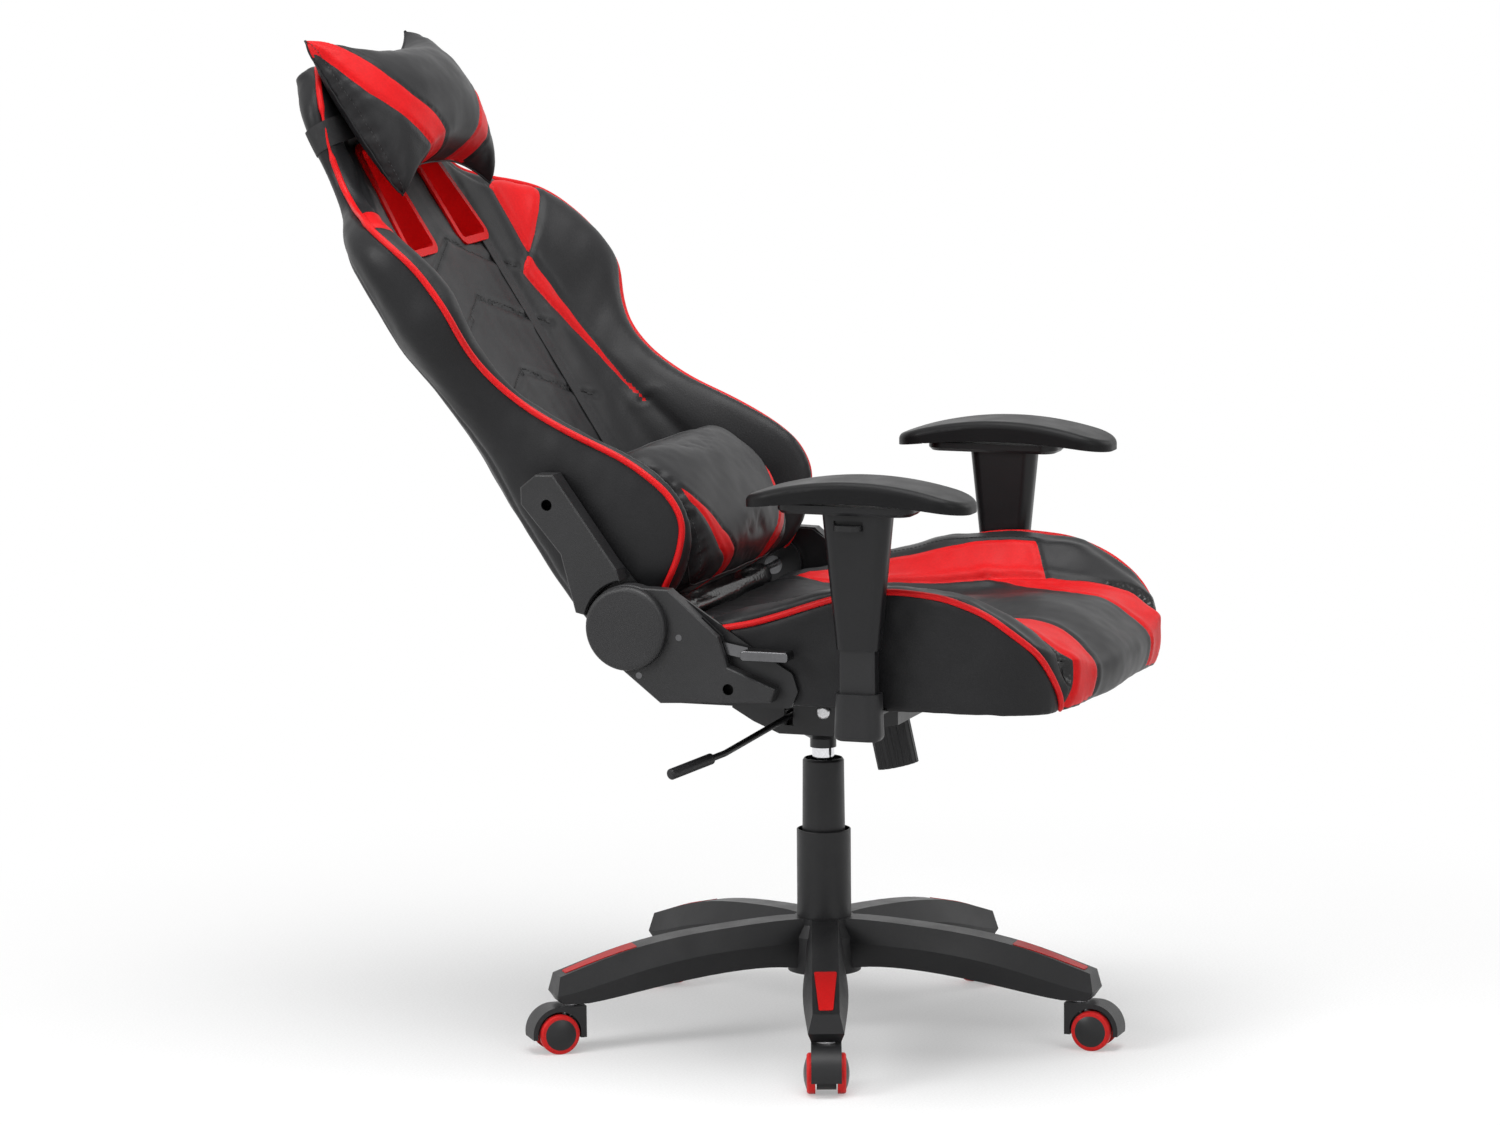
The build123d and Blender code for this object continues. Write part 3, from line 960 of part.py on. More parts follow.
def make_back():
    """Back cushion with belt holes and bezels, and the tubular frame inside it."""
    cushion = back_form(0)
    cushion -= block((-PANEL_HALF_WIDTH, -200, LUMBAR_BOTTOM - 30),
                     (PANEL_HALF_WIDTH, -PANEL_V, PANEL_TOP))
    cushion -= pair(through_back(belt_hole(0), PANEL_V + THROUGH, BACK_REAR_V - THROUGH))
    save("back_cushion", BACK_PLACE * cushion)

    bezel = through_back(belt_hole(0), PANEL_V, BACK_REAR_V)
    bezel += through_back(belt_hole(BEZEL_FLANGE), PANEL_V + BEZEL_LIP, PANEL_V)
    bezel -= through_back(belt_hole(-BEZEL_WALL), PANEL_V + THROUGH, BACK_REAR_V - THROUGH)
    bezel &= back_form(BEZEL_PROUD)
    save("belt_bezels", BACK_PLACE * pair(bezel))

    side_path = [
        (-FRAME_HALF_WIDTH, FRAME_BOTTOM), (-FRAME_HALF_WIDTH, FRAME_SHOULDER),
        (-FRAME_HEAD_HALF_WIDTH, FRAME_NECK), (-FRAME_HEAD_HALF_WIDTH, FRAME_TOP),
    ]
    loop = side_path + [(-x, u) for x, u in reversed(side_path)]
    corners = [Vector(x, -FRAME_TUBE_V, u) for x, u in loop]
    path = FilletPolyline(*corners, radius=30, close=True)
    start = (corners[0] + corners[1]) * 0.5
    profile = Plane(origin=start, z_dir=(0, 0, 1)) * Circle(FRAME_TUBE_RADIUS)
    frame = sweep(profile, path=path)
    for u in (FRAME_BOSS_LOW, FRAME_BOSS_HIGH):
        for side in (-1, 1):
            frame += rod((side * FRAME_HALF_WIDTH, -FRAME_TUBE_V, u),
                         (side * FRAME_HALF_WIDTH, -FRAME_BOSS_V - 4, u), FRAME_BOSS_RADIUS - 2)
            frame += rod((side * (FRAME_HALF_WIDTH - 8), -FRAME_BOSS_V, u),
                         (side * UPPER_BRACKET_INNER, -FRAME_BOSS_V, u), FRAME_BOSS_RADIUS)
    save("back_frame", BACK_PLACE * frame)


def make_pillows():
    """Lumbar and head pillows, and the straps that hold them."""
    back_v = PANEL_V + SOFT_GAP
    side = make_face([
        Line((LUMBAR_TOP, back_v), (LUMBAR_BOTTOM + 8, back_v)),
        Spline((LUMBAR_BOTTOM + 8, back_v), (LUMBAR_BOTTOM, 0.0), (LUMBAR_BOTTOM + 26, 94.0),
               (LUMBAR_BOTTOM + 72, LUMBAR_FRONT_V - 3), (LUMBAR_BOTTOM + 118, LUMBAR_FRONT_V - 12),
               (LUMBAR_TOP - 12, 62.0), (LUMBAR_TOP, back_v)),
    ])
    lumbar = extrude(back_side_plane(0) * side, LUMBAR_HALF_WIDTH, both=True)
    save("lumbar_pillow", BACK_PLACE * lumbar)

    head_side = make_face([
        Line((HEAD_PILLOW_TOP, HEAD_PILLOW_BACK_V), (HEAD_PILLOW_BOTTOM, HEAD_PILLOW_BACK_V)),
        Spline((HEAD_PILLOW_BOTTOM, HEAD_PILLOW_BACK_V), (HEAD_PILLOW_BOTTOM + 22, 42.0),
               (HEAD_PILLOW_BOTTOM + 90, HEAD_PILLOW_FRONT_V), (HEAD_PILLOW_TOP - 66, 62.0),
               (HEAD_PILLOW_TOP - 6, 14.0), (HEAD_PILLOW_TOP, HEAD_PILLOW_BACK_V)),
    ])
    head = extrude(back_side_plane(0) * head_side, HEAD_PILLOW_HALF_WIDTH, both=True)
    save("head_pillow", BACK_PLACE * head)

    strap_front = PANEL_V + STRAP_THICKNESS
    strap = block((-LUMBAR_STRAP_X - LUMBAR_STRAP_WIDTH / 2, -strap_front, LUMBAR_TOP + 4),
                  (-LUMBAR_STRAP_X + LUMBAR_STRAP_WIDTH / 2, -PANEL_V,
                   BELT_HOLE_BOTTOM - BEZEL_FLANGE - SOFT_GAP))
    save("lumbar_straps", BACK_PLACE * pair(strap))


def make_head_strap():
    """Elastic band round the head of the back, just clear of the cushion."""
    band = back_form(SOFT_GAP + STRAP_THICKNESS) - back_form(SOFT_GAP)
    band &= block((-SEAT_HALF_WIDTH, -SEAT_HALF_WIDTH, HEAD_STRAP_BOTTOM),
                  (SEAT_HALF_WIDTH, SEAT_HALF_WIDTH, HEAD_STRAP_BOTTOM + HEAD_STRAP_WIDTH))
    save("head_strap", BACK_PLACE * band)


os.makedirs("parts", exist_ok=True)
make_base()
for number, turn in enumerate(leg_turns(), start=1):
    make_caster(number, turn)
make_column()
make_mechanism()
make_seat()
make_arms()
make_recliner()
make_back()
make_pillows()
make_head_strap()
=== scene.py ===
"""Looks of the gaming chair: leather cushions, pillows, piping, finishes, studio and camera.

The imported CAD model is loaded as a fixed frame. Hard parts keep their CAD shape and get a
finish; the seat cushion, back cushion and both pillows are sewn here as leather skins.
Metres. The origin is on the floor under the column, +Z is up and the sitter faces -Y.
"""

from __future__ import annotations

import json
import logging
import math
from dataclasses import dataclass
from enum import Enum
from typing import Callable, Iterable, Sequence

import bmesh
import bpy
import numpy as np
from mathutils import Matrix, Vector
from mathutils.bvhtree import BVHTree

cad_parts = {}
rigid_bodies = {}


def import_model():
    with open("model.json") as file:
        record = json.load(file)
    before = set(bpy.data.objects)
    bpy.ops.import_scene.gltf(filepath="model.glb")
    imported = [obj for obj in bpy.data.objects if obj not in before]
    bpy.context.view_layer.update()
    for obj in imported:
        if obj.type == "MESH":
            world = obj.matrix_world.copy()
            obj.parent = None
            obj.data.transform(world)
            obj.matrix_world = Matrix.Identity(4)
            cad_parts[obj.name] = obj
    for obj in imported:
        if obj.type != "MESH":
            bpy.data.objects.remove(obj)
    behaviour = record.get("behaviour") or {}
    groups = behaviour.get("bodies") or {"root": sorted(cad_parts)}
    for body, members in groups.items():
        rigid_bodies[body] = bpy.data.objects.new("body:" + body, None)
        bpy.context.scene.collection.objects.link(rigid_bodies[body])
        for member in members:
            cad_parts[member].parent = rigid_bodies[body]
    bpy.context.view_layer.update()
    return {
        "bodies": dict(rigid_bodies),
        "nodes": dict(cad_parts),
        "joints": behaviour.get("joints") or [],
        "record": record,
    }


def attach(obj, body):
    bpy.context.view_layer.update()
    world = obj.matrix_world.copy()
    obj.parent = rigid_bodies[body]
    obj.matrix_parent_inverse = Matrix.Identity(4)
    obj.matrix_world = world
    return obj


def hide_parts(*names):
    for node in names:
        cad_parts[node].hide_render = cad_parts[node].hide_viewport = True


log = logging.getLogger("chair")

Array = np.ndarray
Chart = Callable[[Array], Array]
Field = Callable[[Array, Array], Array]
Rows = tuple[tuple[float, ...], ...]
Socket = bpy.types.NodeSocket

MIRROR = np.array([-1.0, 1.0, 1.0])
STEP = 0.004  # spacing of the points of seams and piping
OFF_PANEL = 0.05  # what a panel's field says on the other side of the cushion


# ---- finishes ----
class Grain(Enum):
    """What a surface is made of, which picks its fine relief."""

    LEATHER = "leather"
    MOULDED = "moulded"
    SMOOTH = "smooth"
    BRUSHED = "brushed"
    WOVEN = "woven"
    WOOD = "wood"


@dataclass(frozen=True)
class Finish:
    """One material: its colour, sheen and relief.

    Args:
        name: Name of the finish.
        colour: Linear base colour.
        roughness: Mean roughness.
        grain: Kind of relief.
        metallic: 1 for bare metal.
        relief: Height of the relief in metres.
        scale: Grains per metre.
        spread: How far the colour varies, as a share of the colour.
        specular: Specular level, 0.5 for common plastics.
    """

    name: str
    colour: tuple[float, float, float]
    roughness: float
    grain: Grain
    metallic: float = 0.0
    relief: float = 0.0001
    scale: float = 900.0
    spread: float = 0.12
    specular: float = 0.5

    def material(self) -> bpy.types.Material:
        """Builds the material once and returns it from then on."""
        made = bpy.data.materials.get(self.label)
        return made if made else FinishMaker(self).made

    @property
    def label(self) -> str:
        """Name of the Blender material, apart from the CAD's own materials."""
        return f"{self.name}_finish"


def placed(name: str, data: bpy.types.ID) -> bpy.types.Object:
    """A new object in the scene."""
    made = bpy.data.objects.new(name, data)
    bpy.context.scene.collection.objects.link(made)
    return made


class Nodes:
    """A shader tree that nodes are added to.

    Args:
        tree: The tree.
    """

    def __init__(self, tree: bpy.types.NodeTree) -> None:
        self.tree = tree

    def add(self, kind: str, *ordered: object, **named: object) -> bpy.types.Node:
        """Adds a node and feeds its inputs.

        Args:
            kind: The node's type, after "ShaderNode".
            ordered: What goes into its first inputs.
            named: What goes into inputs by name; a name in small letters is a setting instead.

        Returns:
            The node.
        """
        node = self.tree.nodes.new(f"ShaderNode{kind}")
        for key, value in named.items():
            if key.islower():
                setattr(node, key, value)
            else:
                self.feed(node.inputs[key.replace("_", " ")], value)
        for socket, value in zip(node.inputs, ordered):
            self.feed(socket, value)
        return node

    def feed(self, socket: Socket, value: object) -> None:
        """Links an output to a socket, or sets the socket's constant."""
        if isinstance(value, Socket):
            self.tree.links.new(value, socket)
        else:
            socket.default_value = value

    def math(self, work: str, a: object, b: object) -> Socket:
        """One sum, product or comparison of two values."""
        return self.add("Math", a, b, operation=work).outputs[0]


class FinishMaker(Nodes):
    """Builds the node tree of one finish.

    Args:
        finish: The finish to build.
    """

    SLOW, WORN, FINE = 14.0, 26.0, 320.0
    FINE_SPREAD = 0.06
    WEAR = 0.12
    SHAKE, SHAKE_SCALE = 0.0012, 220.0
    BUMP = 0.6

    def __init__(self, finish: Finish) -> None:
        self.finish = finish
        self.made = bpy.data.materials.new(finish.label)
        self.made.use_nodes = True
        super().__init__(self.made.node_tree)
        self.shader = self.tree.nodes["Principled BSDF"]
        self.place = self.add("TexCoord").outputs["Object"]
        self._shade()
        self._relief()

    def _noise(self, scale: float, detail: float = 3.0) -> Socket:
        """Noise over the object, 0 to 1."""
        return self.add("TexNoise", Vector=self.place, Scale=scale, Detail=detail,
                        Roughness=0.55).outputs["Fac"]

    def _range(self, value: Socket, low: float, high: float) -> Socket:
        """Maps the middle of a noise to a range."""
        return self.add("MapRange", Value=value, From_Min=0.3, From_Max=0.7, To_Min=low,
                        To_Max=high).outputs["Result"]

    def _shade(self) -> None:
        """Colour, roughness and the constant sockets."""
        finish, inputs = self.finish, self.shader.inputs
        slow = self._range(self._noise(self.SLOW), 1.0 - finish.spread, 1.0 + finish.spread)
        fine = self._range(self._noise(self.FINE, 2.0), 1.0 - self.FINE_SPREAD,
                           1.0 + self.FINE_SPREAD)
        tint = self.add("VectorMath", finish.colour, operation="SCALE",
                        Scale=self.math("MULTIPLY", slow, fine))
        self.feed(inputs["Base Color"], tint.outputs[0])
        worn = self._range(self._noise(self.WORN, 4.0), finish.roughness * (1.0 - self.WEAR),
                           min(1.0, finish.roughness * (1.0 + self.WEAR)))
        self.feed(inputs["Roughness"], worn)
        inputs["Metallic"].default_value = finish.metallic
        inputs["Specular IOR Level"].default_value = finish.specular

    def _height(self) -> Socket:
        """The relief's height, 0 to about 1."""
        scale, grain = self.finish.scale, self.finish.grain
        if grain is Grain.LEATHER:
            cells = self.add("TexVoronoi", Vector=self._warped(), Scale=scale,
                             feature="SMOOTH_F1")
            fold = self.math("MULTIPLY", self._noise(scale * 0.12, 4.0), 0.9)
            return self.math("ADD", cells.outputs["Distance"], fold)
        if grain is Grain.MOULDED:
            cells = self.add("TexVoronoi", Vector=self.place, Scale=scale)
            return self.math("ADD", cells.outputs["Distance"], self._noise(scale * 0.5, 2.0))
        if grain is Grain.WOVEN:
            return self.math("MULTIPLY", self._wave("X", scale),
                             self._wave("DIAGONAL", scale * 0.8))
        if grain is Grain.WOOD:
            return self.math("ADD", self._wave("X", scale), self._noise(scale * 3.0))
        if grain is Grain.BRUSHED:
            stretch = self.add("Mapping", Vector=self.place, Scale=(8.0, 1.0, 1.0))
            return self.add("TexNoise", Vector=stretch.outputs[0], Scale=scale).outputs["Fac"]
        return self._noise(scale, 2.0)

    def _warped(self) -> Socket:
        """The object's place, shaken a little so that cells aren't regular."""
        noise = self.add("TexNoise", Vector=self.place, Scale=self.SHAKE_SCALE)
        shift = self.add("VectorMath", noise.outputs["Color"], operation="SCALE",
                         Scale=self.SHAKE)
        return self.add("VectorMath", self.place, shift.outputs[0]).outputs[0]

    def _wave(self, way: str, scale: float) -> Socket:
        """Bands across one axis."""
        return self.add("TexWave", Vector=self.place, Scale=scale, Distortion=0.4,
                        bands_direction=way).outputs["Fac"]

    def _relief(self) -> None:
        """Links the relief to the shader as a bump."""
        bump = self.add("Bump", Height=self._height(), Strength=self.BUMP,
                        Distance=self.finish.relief)
        self.feed(self.shader.inputs["Normal"], bump.outputs["Normal"])


BLACK_LEATHER = Finish("black_leather", (0.0125, 0.0125, 0.0135), 0.44, Grain.LEATHER,
    relief=0.00018, scale=620.0, specular=0.22)
RED_LEATHER = Finish("red_leather", (0.62, 0.008, 0.010), 0.44, Grain.LEATHER, relief=0.00016,
    scale=620.0, spread=0.07, specular=0.14)
RED_PIPING = Finish("red_piping", (0.64, 0.008, 0.010), 0.40, Grain.LEATHER, relief=0.00008,
    spread=0.05, specular=0.18)
BLACK_THREAD = Finish("black_thread", (0.022, 0.022, 0.023), 0.6, Grain.WOVEN, relief=0.0002)
# Base colour darker than the black leather: painted shade for the sunk tuck at the seat's front
# corners and for the rod sleeve under the back cushion.
SHADED_CREASE_LEATHER = Finish("shaded_creased_leather", (0.004, 0.004, 0.0045), 0.24, Grain.LEATHER,
    relief=0.0009, scale=260.0, specular=0.4)
BLACK_NYLON = Finish("black_nylon", (0.012, 0.012, 0.013), 0.42, Grain.MOULDED, relief=0.00012,
    scale=1300.0, specular=0.32)
TEXTURED_NYLON = Finish("textured_nylon", (0.018, 0.018, 0.019), 0.44, Grain.MOULDED,
    relief=0.00022, scale=1100.0, specular=0.35)
SATIN_NYLON = Finish("satin_nylon", (0.008, 0.008, 0.009), 0.32, Grain.SMOOTH, relief=0.00005,
    scale=700.0, specular=0.32)
PAD_RUBBER = Finish("pad_polyurethane", (0.007, 0.007, 0.0075), 0.40, Grain.LEATHER, scale=1000.0,
    specular=0.14)
HUB_BLACK = Finish("hub_black", (0.013, 0.013, 0.014), 0.36, Grain.SMOOTH, relief=0.00004,
    specular=0.35)
RED_PLASTIC = Finish("red_plastic", (0.60, 0.012, 0.012), 0.38, Grain.MOULDED, relief=0.00006,
    scale=1200.0, spread=0.06, specular=0.15)
RED_GLOSS = Finish("red_gloss", (0.64, 0.006, 0.007), 0.28, Grain.SMOOTH, relief=0.00003,
    spread=0.05, specular=0.05)
RED_TYRE = Finish("red_tyre", (0.60, 0.016, 0.016), 0.48, Grain.MOULDED, relief=0.00006,
    spread=0.08, specular=0.18)
BLACK_STEEL = Finish("black_steel", (0.009, 0.009, 0.010), 0.36, Grain.MOULDED, relief=0.00008,
    scale=1500.0, specular=0.4)
DARK_METAL = Finish("dark_metal", (0.140, 0.140, 0.145), 0.24, Grain.BRUSHED, metallic=1.0,
    relief=0.00006, scale=600.0)
BRIGHT_STEEL = Finish("bright_steel", (0.55, 0.55, 0.56), 0.28, Grain.BRUSHED, metallic=1.0,
    relief=0.00004, scale=700.0, spread=0.06)
CHROMED_STEEL = Finish("chromed_steel", (0.75, 0.75, 0.77), 0.12, Grain.SMOOTH, metallic=1.0,
    relief=0.00002, spread=0.03)
PLYWOOD = Finish("plywood", (0.018, 0.015, 0.013), 0.62, Grain.WOOD, relief=0.0002, scale=40.0,
    spread=0.2, specular=0.3)
WEBBING = Finish("black_webbing", (0.016, 0.016, 0.017), 0.62, Grain.WOVEN, relief=0.0004,
    scale=420.0, specular=0.35)
FLOOR = Finish("floor", (0.93, 0.93, 0.93), 0.85, Grain.SMOOTH, relief=0.00002, spread=0.004,
    specular=0.0)

SLOT_FINISHES = {finish.name: finish for finish in (
    BLACK_NYLON, RED_PLASTIC, RED_GLOSS, RED_TYRE, HUB_BLACK, BLACK_STEEL, BRIGHT_STEEL,
    CHROMED_STEEL, PLYWOOD, PAD_RUBBER, BLACK_LEATHER, WEBBING)}
NODE_FINISHES = {
    "recline_handle": DARK_METAL,
    "recliner_upper_covers": TEXTURED_NYLON,
    "recliner_lower_covers": TEXTURED_NYLON,
    "recliner_hub_caps": TEXTURED_NYLON,
    "cover_screws": DARK_METAL,
    "recliner_discs": DARK_METAL,
    "arm_sleeve_right": SATIN_NYLON,
    "arm_sleeve_left": SATIN_NYLON,
}


# ---- curves and fields ----
def smooth_path(points: Sequence[Sequence[float]], step: float, closed: bool = False) -> Array:
    """Evenly spaced points on a smooth curve through the given ones.

    Args:
        points: Points to pass through, in 2 or 3 dimensions.
        step: Spacing of the points returned.
        closed: Whether the last point joins the first.

    Returns:
        The points of the curve, one a row.
    """
    known = np.asarray(points, float)
    if closed:
        known = np.vstack([known[-1:], known, known[:2]])
    else:
        known = np.vstack([2 * known[0] - known[1], known, 2 * known[-1] - known[-2]])
    runs = []
    share = np.linspace(0.0, 1.0, 24, endpoint=False)[:, None]
    for a, b, c, d in zip(known, known[1:], known[2:], known[3:]):
        runs.append(0.5 * (2 * b + (c - a) * share + (2 * a - 5 * b + 4 * c - d) * share**2
                           + (3 * b - a - 3 * c + d) * share**3))
    dense = np.vstack([*runs, known[-2:-1]])
    return even_path(dense, step)


def even_path(dense: Array, step: float) -> Array:
    """The same line with its points spaced evenly."""
    lengths = np.r_[0.0, np.cumsum(np.linalg.norm(np.diff(dense, axis=0), axis=1))]
    count = max(2, int(round(lengths[-1] / step)) + 1)
    marks = np.linspace(0.0, lengths[-1], count)
    return np.stack([np.interp(marks, lengths, dense[:, k]) for k in range(dense.shape[1])], 1)


def line_distance(places: Array, line: Array) -> Array:
    """Distance of each place from a line of points, in as many dimensions as both have."""
    best = np.full(len(places), np.inf)
    for a, b in zip(line, line[1:]):
        along = b - a
        share = np.clip((places - a) @ along / max(along @ along, 1e-12), 0.0, 1.0)
        best = np.minimum(best, np.linalg.norm(places - a - share[:, None] * along, axis=1))
    return best


def inside_outline(places: Array, outline: Array) -> Array:
    """Whether each 2-D place is inside a closed outline."""
    inside = np.zeros(len(places), bool)
    x, y = places[:, 0], places[:, 1]
    for (ax, ay), (bx, by) in zip(outline, np.roll(outline, -1, axis=0)):
        if ay == by:
            continue
        crosses = ((ay > y) != (by > y)) & (x < (bx - ax) * (y - ay) / (by - ay) + ax)
        inside ^= crosses
    return inside


def ramp(value: Array, low: float, high: float) -> Array:
    """0 below low, 1 above high, smooth between."""
    share = np.clip((value - low) / (high - low), 0.0, 1.0)
    return share * share * (3.0 - 2.0 * share)


def fall(value: Array, low: float, high: float) -> Array:
    """1 below low, 0 above high, smooth between."""
    return 1.0 - ramp(value, low, high)


def bell(value: Array, middle: float, width: float) -> Array:
    """1 at the middle and next to nothing two widths away from it."""
    return np.exp(-(((value - middle) / width) ** 2))


def panel_field(chart: Chart, outline: Array, shown: Field) -> Field:
    """Signed distance from a panel's outline.

    Args:
        chart: Lays world places flat, as the outline is.
        outline: Points of the outline.
        shown: Whether a place is on the side of the cushion that the panel is on.

    Returns:
        The field, negative inside the panel.
    """
    closed = np.vstack([outline, outline[:1]])

    def signed(places: Array, normals: Array) -> Array:
        flat = chart(places)
        away = line_distance(flat, closed)
        away = np.where(inside_outline(flat, outline), -away, away)
        return np.where(shown(places, normals), away, OFF_PANEL)

    return signed


def soft_noise(places: Array, size: float, seed: int, waves: int = 9) -> Array:
    """Smooth seeded undulation of about -1 to 1 whose bumps are near the given size."""
    rng = np.random.default_rng(seed)
    total = np.zeros(len(places))
    for _ in range(waves):
        way = rng.normal(size=3)
        way *= rng.uniform(0.6, 1.5) / np.linalg.norm(way)
        total += np.sin(places @ way * (2 * math.pi / size) + rng.uniform(0, 2 * math.pi))
    return total / math.sqrt(waves)


# ---- placing on the leaned back ----
@dataclass(frozen=True)
class Lean:
    """The back's own frame: u up the back, v out of its front, about the recliner hub.

    Args:
        hub: Where the hub is, as (y, z).
        angle: How far the back leans, in degrees.
    """

    hub: tuple[float, float] = (0.153, 0.551)
    angle: float = 32.5

    def _sides(self) -> tuple[float, float]:
        """Sine and cosine of the lean."""
        turn = math.radians(self.angle)
        return math.sin(turn), math.cos(turn)

    def world(self, local: Array) -> Array:
        """Rows of (x, u, v) as rows of (x, y, z)."""
        sin, cos = self._sides()
        x, u, v = np.asarray(local, float).T
        return np.stack([x, self.hub[0] + u * sin - v * cos, self.hub[1] + u * cos + v * sin], 1)

    def local(self, world: Array) -> Array:
        """Rows of (x, y, z) as rows of (x, u, v)."""
        sin, cos = self._sides()
        x, y, z = np.asarray(world, float).T
        y, z = y - self.hub[0], z - self.hub[1]
        return np.stack([x, y * sin + z * cos, z * sin - y * cos], 1)

    def turn(self, normals: Array) -> Array:
        """Rows of world directions as rows of (x, u, v)."""
        return self.local(normals + np.array([0.0, *self.hub]))


LEAN = Lean()


# ---- leather skins ----
@dataclass(frozen=True)
class Seam:
    """Section of a seam: its depth, its half width and how high the leather rises beside it."""

    depth: float
    width: float
    crown: float


PANEL_SEAM = Seam(0.0016, 0.0030, 0.0008)
STRIPE_SEAM = Seam(0.0022, 0.0034, 0.0010)
VALLEY_SEAM = Seam(0.0030, 0.0040, 0.0012)
SEAT_PIPING_SEAM = Seam(0.0026, 0.0042, 0.0006)
WING_SEAM = Seam(0.0022, 0.0036, 0.0010)
NECK_SEAM = Seam(0.0018, 0.0034, 0.0008)
QUILT_SEAM = Seam(0.0022, 0.0040, 0.0010)
REAR_SEAM = Seam(0.0018, 0.0032, 0.0008)
BACK_PIPING_SEAM = Seam(0.0024, 0.0042, 0.0006)
PILLOW_SEAM = Seam(0.0014, 0.0026, 0.0006)


class Skin:
    """A closed leather skin on a cushion, sewn from panels.

    Args:
        name: Name of the piece.
        node: CAD node whose form the skin follows.
        pitch: Spacing of the skin's mesh.
        data: Mesh to start from, in place of a wrap of the node.
    """

    SMOOTHINGS = 3
    SNAP = 0.22  # a cut this near the end of an edge moves that end

    def __init__(self, name: str, node: str, pitch: float,
                 data: bpy.types.Mesh | None = None) -> None:
        self.name = name
        self.node = node
        self.pitch = pitch
        self.mesh = self._taken(data) if data else self._wrapped()
        self.threads = Threads(f"{name}_stitching")

    def _wrapped(self) -> bmesh.types.BMesh:
        """Even mesh over the CAD node's form."""
        source = bpy.data.objects[self.node].copy()
        source.parent = None
        bpy.context.scene.collection.objects.link(source)
        remesh = source.modifiers.new("wrap", "REMESH")
        remesh.mode = "VOXEL"
        remesh.voxel_size = self.pitch
        graph = bpy.context.evaluated_depsgraph_get()
        even = bmesh.new()
        even.from_mesh(source.evaluated_get(graph).to_mesh())
        bpy.data.objects.remove(source)
        for _ in range(self.SMOOTHINGS):
            bmesh.ops.smooth_vert(even, verts=even.verts, factor=0.5, use_axis_x=True,
                                  use_axis_y=True, use_axis_z=True)
        even.normal_update()
        return even

    @staticmethod
    def _taken(data: bpy.types.Mesh) -> bmesh.types.BMesh:
        """The mesh of a piece sewn elsewhere."""
        mesh = bmesh.new()
        mesh.from_mesh(data)
        mesh.normal_update()
        return mesh

    def places(self) -> Array:
        """Every point of the skin."""
        return np.array([v.co for v in self.mesh.verts])

    def normals(self) -> Array:
        """The outward direction at every point."""
        return np.array([v.normal for v in self.mesh.verts])

    def move(self, shifts: Array) -> None:
        """Moves every point by its own shift."""
        for vert, shift in zip(self.mesh.verts, shifts):
            vert.co += Vector(shift)
        self.mesh.normal_update()

    def puff(self, heights: Array) -> None:
        """Moves every point along its normal by its own height."""
        self.move(self.normals() * heights[:, None])

    def cut(self, where: Field) -> None:
        """Adds mesh edges along the line where a field is zero.

        Args:
            where: Field of the points and their normals; the cut follows its zero line.
        """
        mesh = self.mesh
        values = where(self.places(), self.normals())
        mesh.verts.index_update()
        level = {vert: values[vert.index] for vert in mesh.verts}
        crossing = [e for e in mesh.edges if level[e.verts[0]] * level[e.verts[1]] < 0]
        snapped = set()
        for edge in crossing:
            a, b = edge.verts
            if level[a] * level[b] >= 0:
                continue
            share = level[a] / (level[a] - level[b])
            for near, far, part in ((a, b, share), (b, a, 1.0 - share)):
                if part < self.SNAP and near not in snapped and far not in snapped:
                    near.co = near.co.lerp(far.co, part)
                    level[near] = 0.0
                    snapped.add(near)
        on_line = set(snapped)
        for edge in crossing:
            a, b = edge.verts
            if level[a] * level[b] < 0:
                share = level[a] / (level[a] - level[b])
                _, fresh = bmesh.utils.edge_split(edge, a, share)
                level[fresh] = 0.0
                on_line.add(fresh)
        faces = {f for vert in on_line for f in vert.link_faces}
        for face in faces:
            ring = list(face.verts)
            hits = [k for k, vert in enumerate(ring) if level[vert] == 0.0]
            if len(hits) < 2 or len({level[v] > 0 for v in ring if level[v] != 0.0}) < 2:
                continue
            for one, two in ((p, q) for p in hits for q in hits if p < q):
                if two - one > 1 and len(ring) - (two - one) > 1:
                    bmesh.utils.face_split(face, ring[one], ring[two])
                    break
        mesh.normal_update()

    def paint(self, where: Field, slot: int) -> None:
        """Gives a material slot to the faces whose middle has a field below zero."""
        faces = list(self.mesh.faces)
        middles = np.array([f.calc_center_median() for f in faces])
        normals = np.array([f.normal for f in faces])
        for face, value in zip(faces, where(middles, normals)):
            if value < 0.0:
                face.material_index = slot

    def groove(self, distance: Field, seam: Seam) -> None:
        """Draws the skin in along a seam and lets it crown on both sides of it.

        Args:
            distance: Distance of each point from the seam.
            seam: Its section.
        """
        away = np.abs(distance(self.places(), self.normals()))
        rise = seam.crown * bell(away, 2.6 * seam.width, 1.6 * seam.width)
        self.puff(rise - seam.depth * bell(away, 0.0, seam.width))

    def tree(self) -> BVHTree:
        """Search tree of the skin as it is now."""
        return BVHTree.FromBMesh(self.mesh)

    def finish(self, body: str, finishes: Sequence[Finish], fill: float) -> None:
        """Turns the skin into a piece that stands for its CAD node.

        Args:
            body: Body that it rides on.
            finishes: One finish for each material slot.
            fill: Not used.
        """
        data = bpy.data.meshes.new(self.name)
        for face in self.mesh.faces:
            face.smooth = True
        self.mesh.to_mesh(data)
        self.mesh.free()
        piece = make_piece(self.name, data, body, finishes)
        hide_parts(self.node)
        self.threads.finish(body)


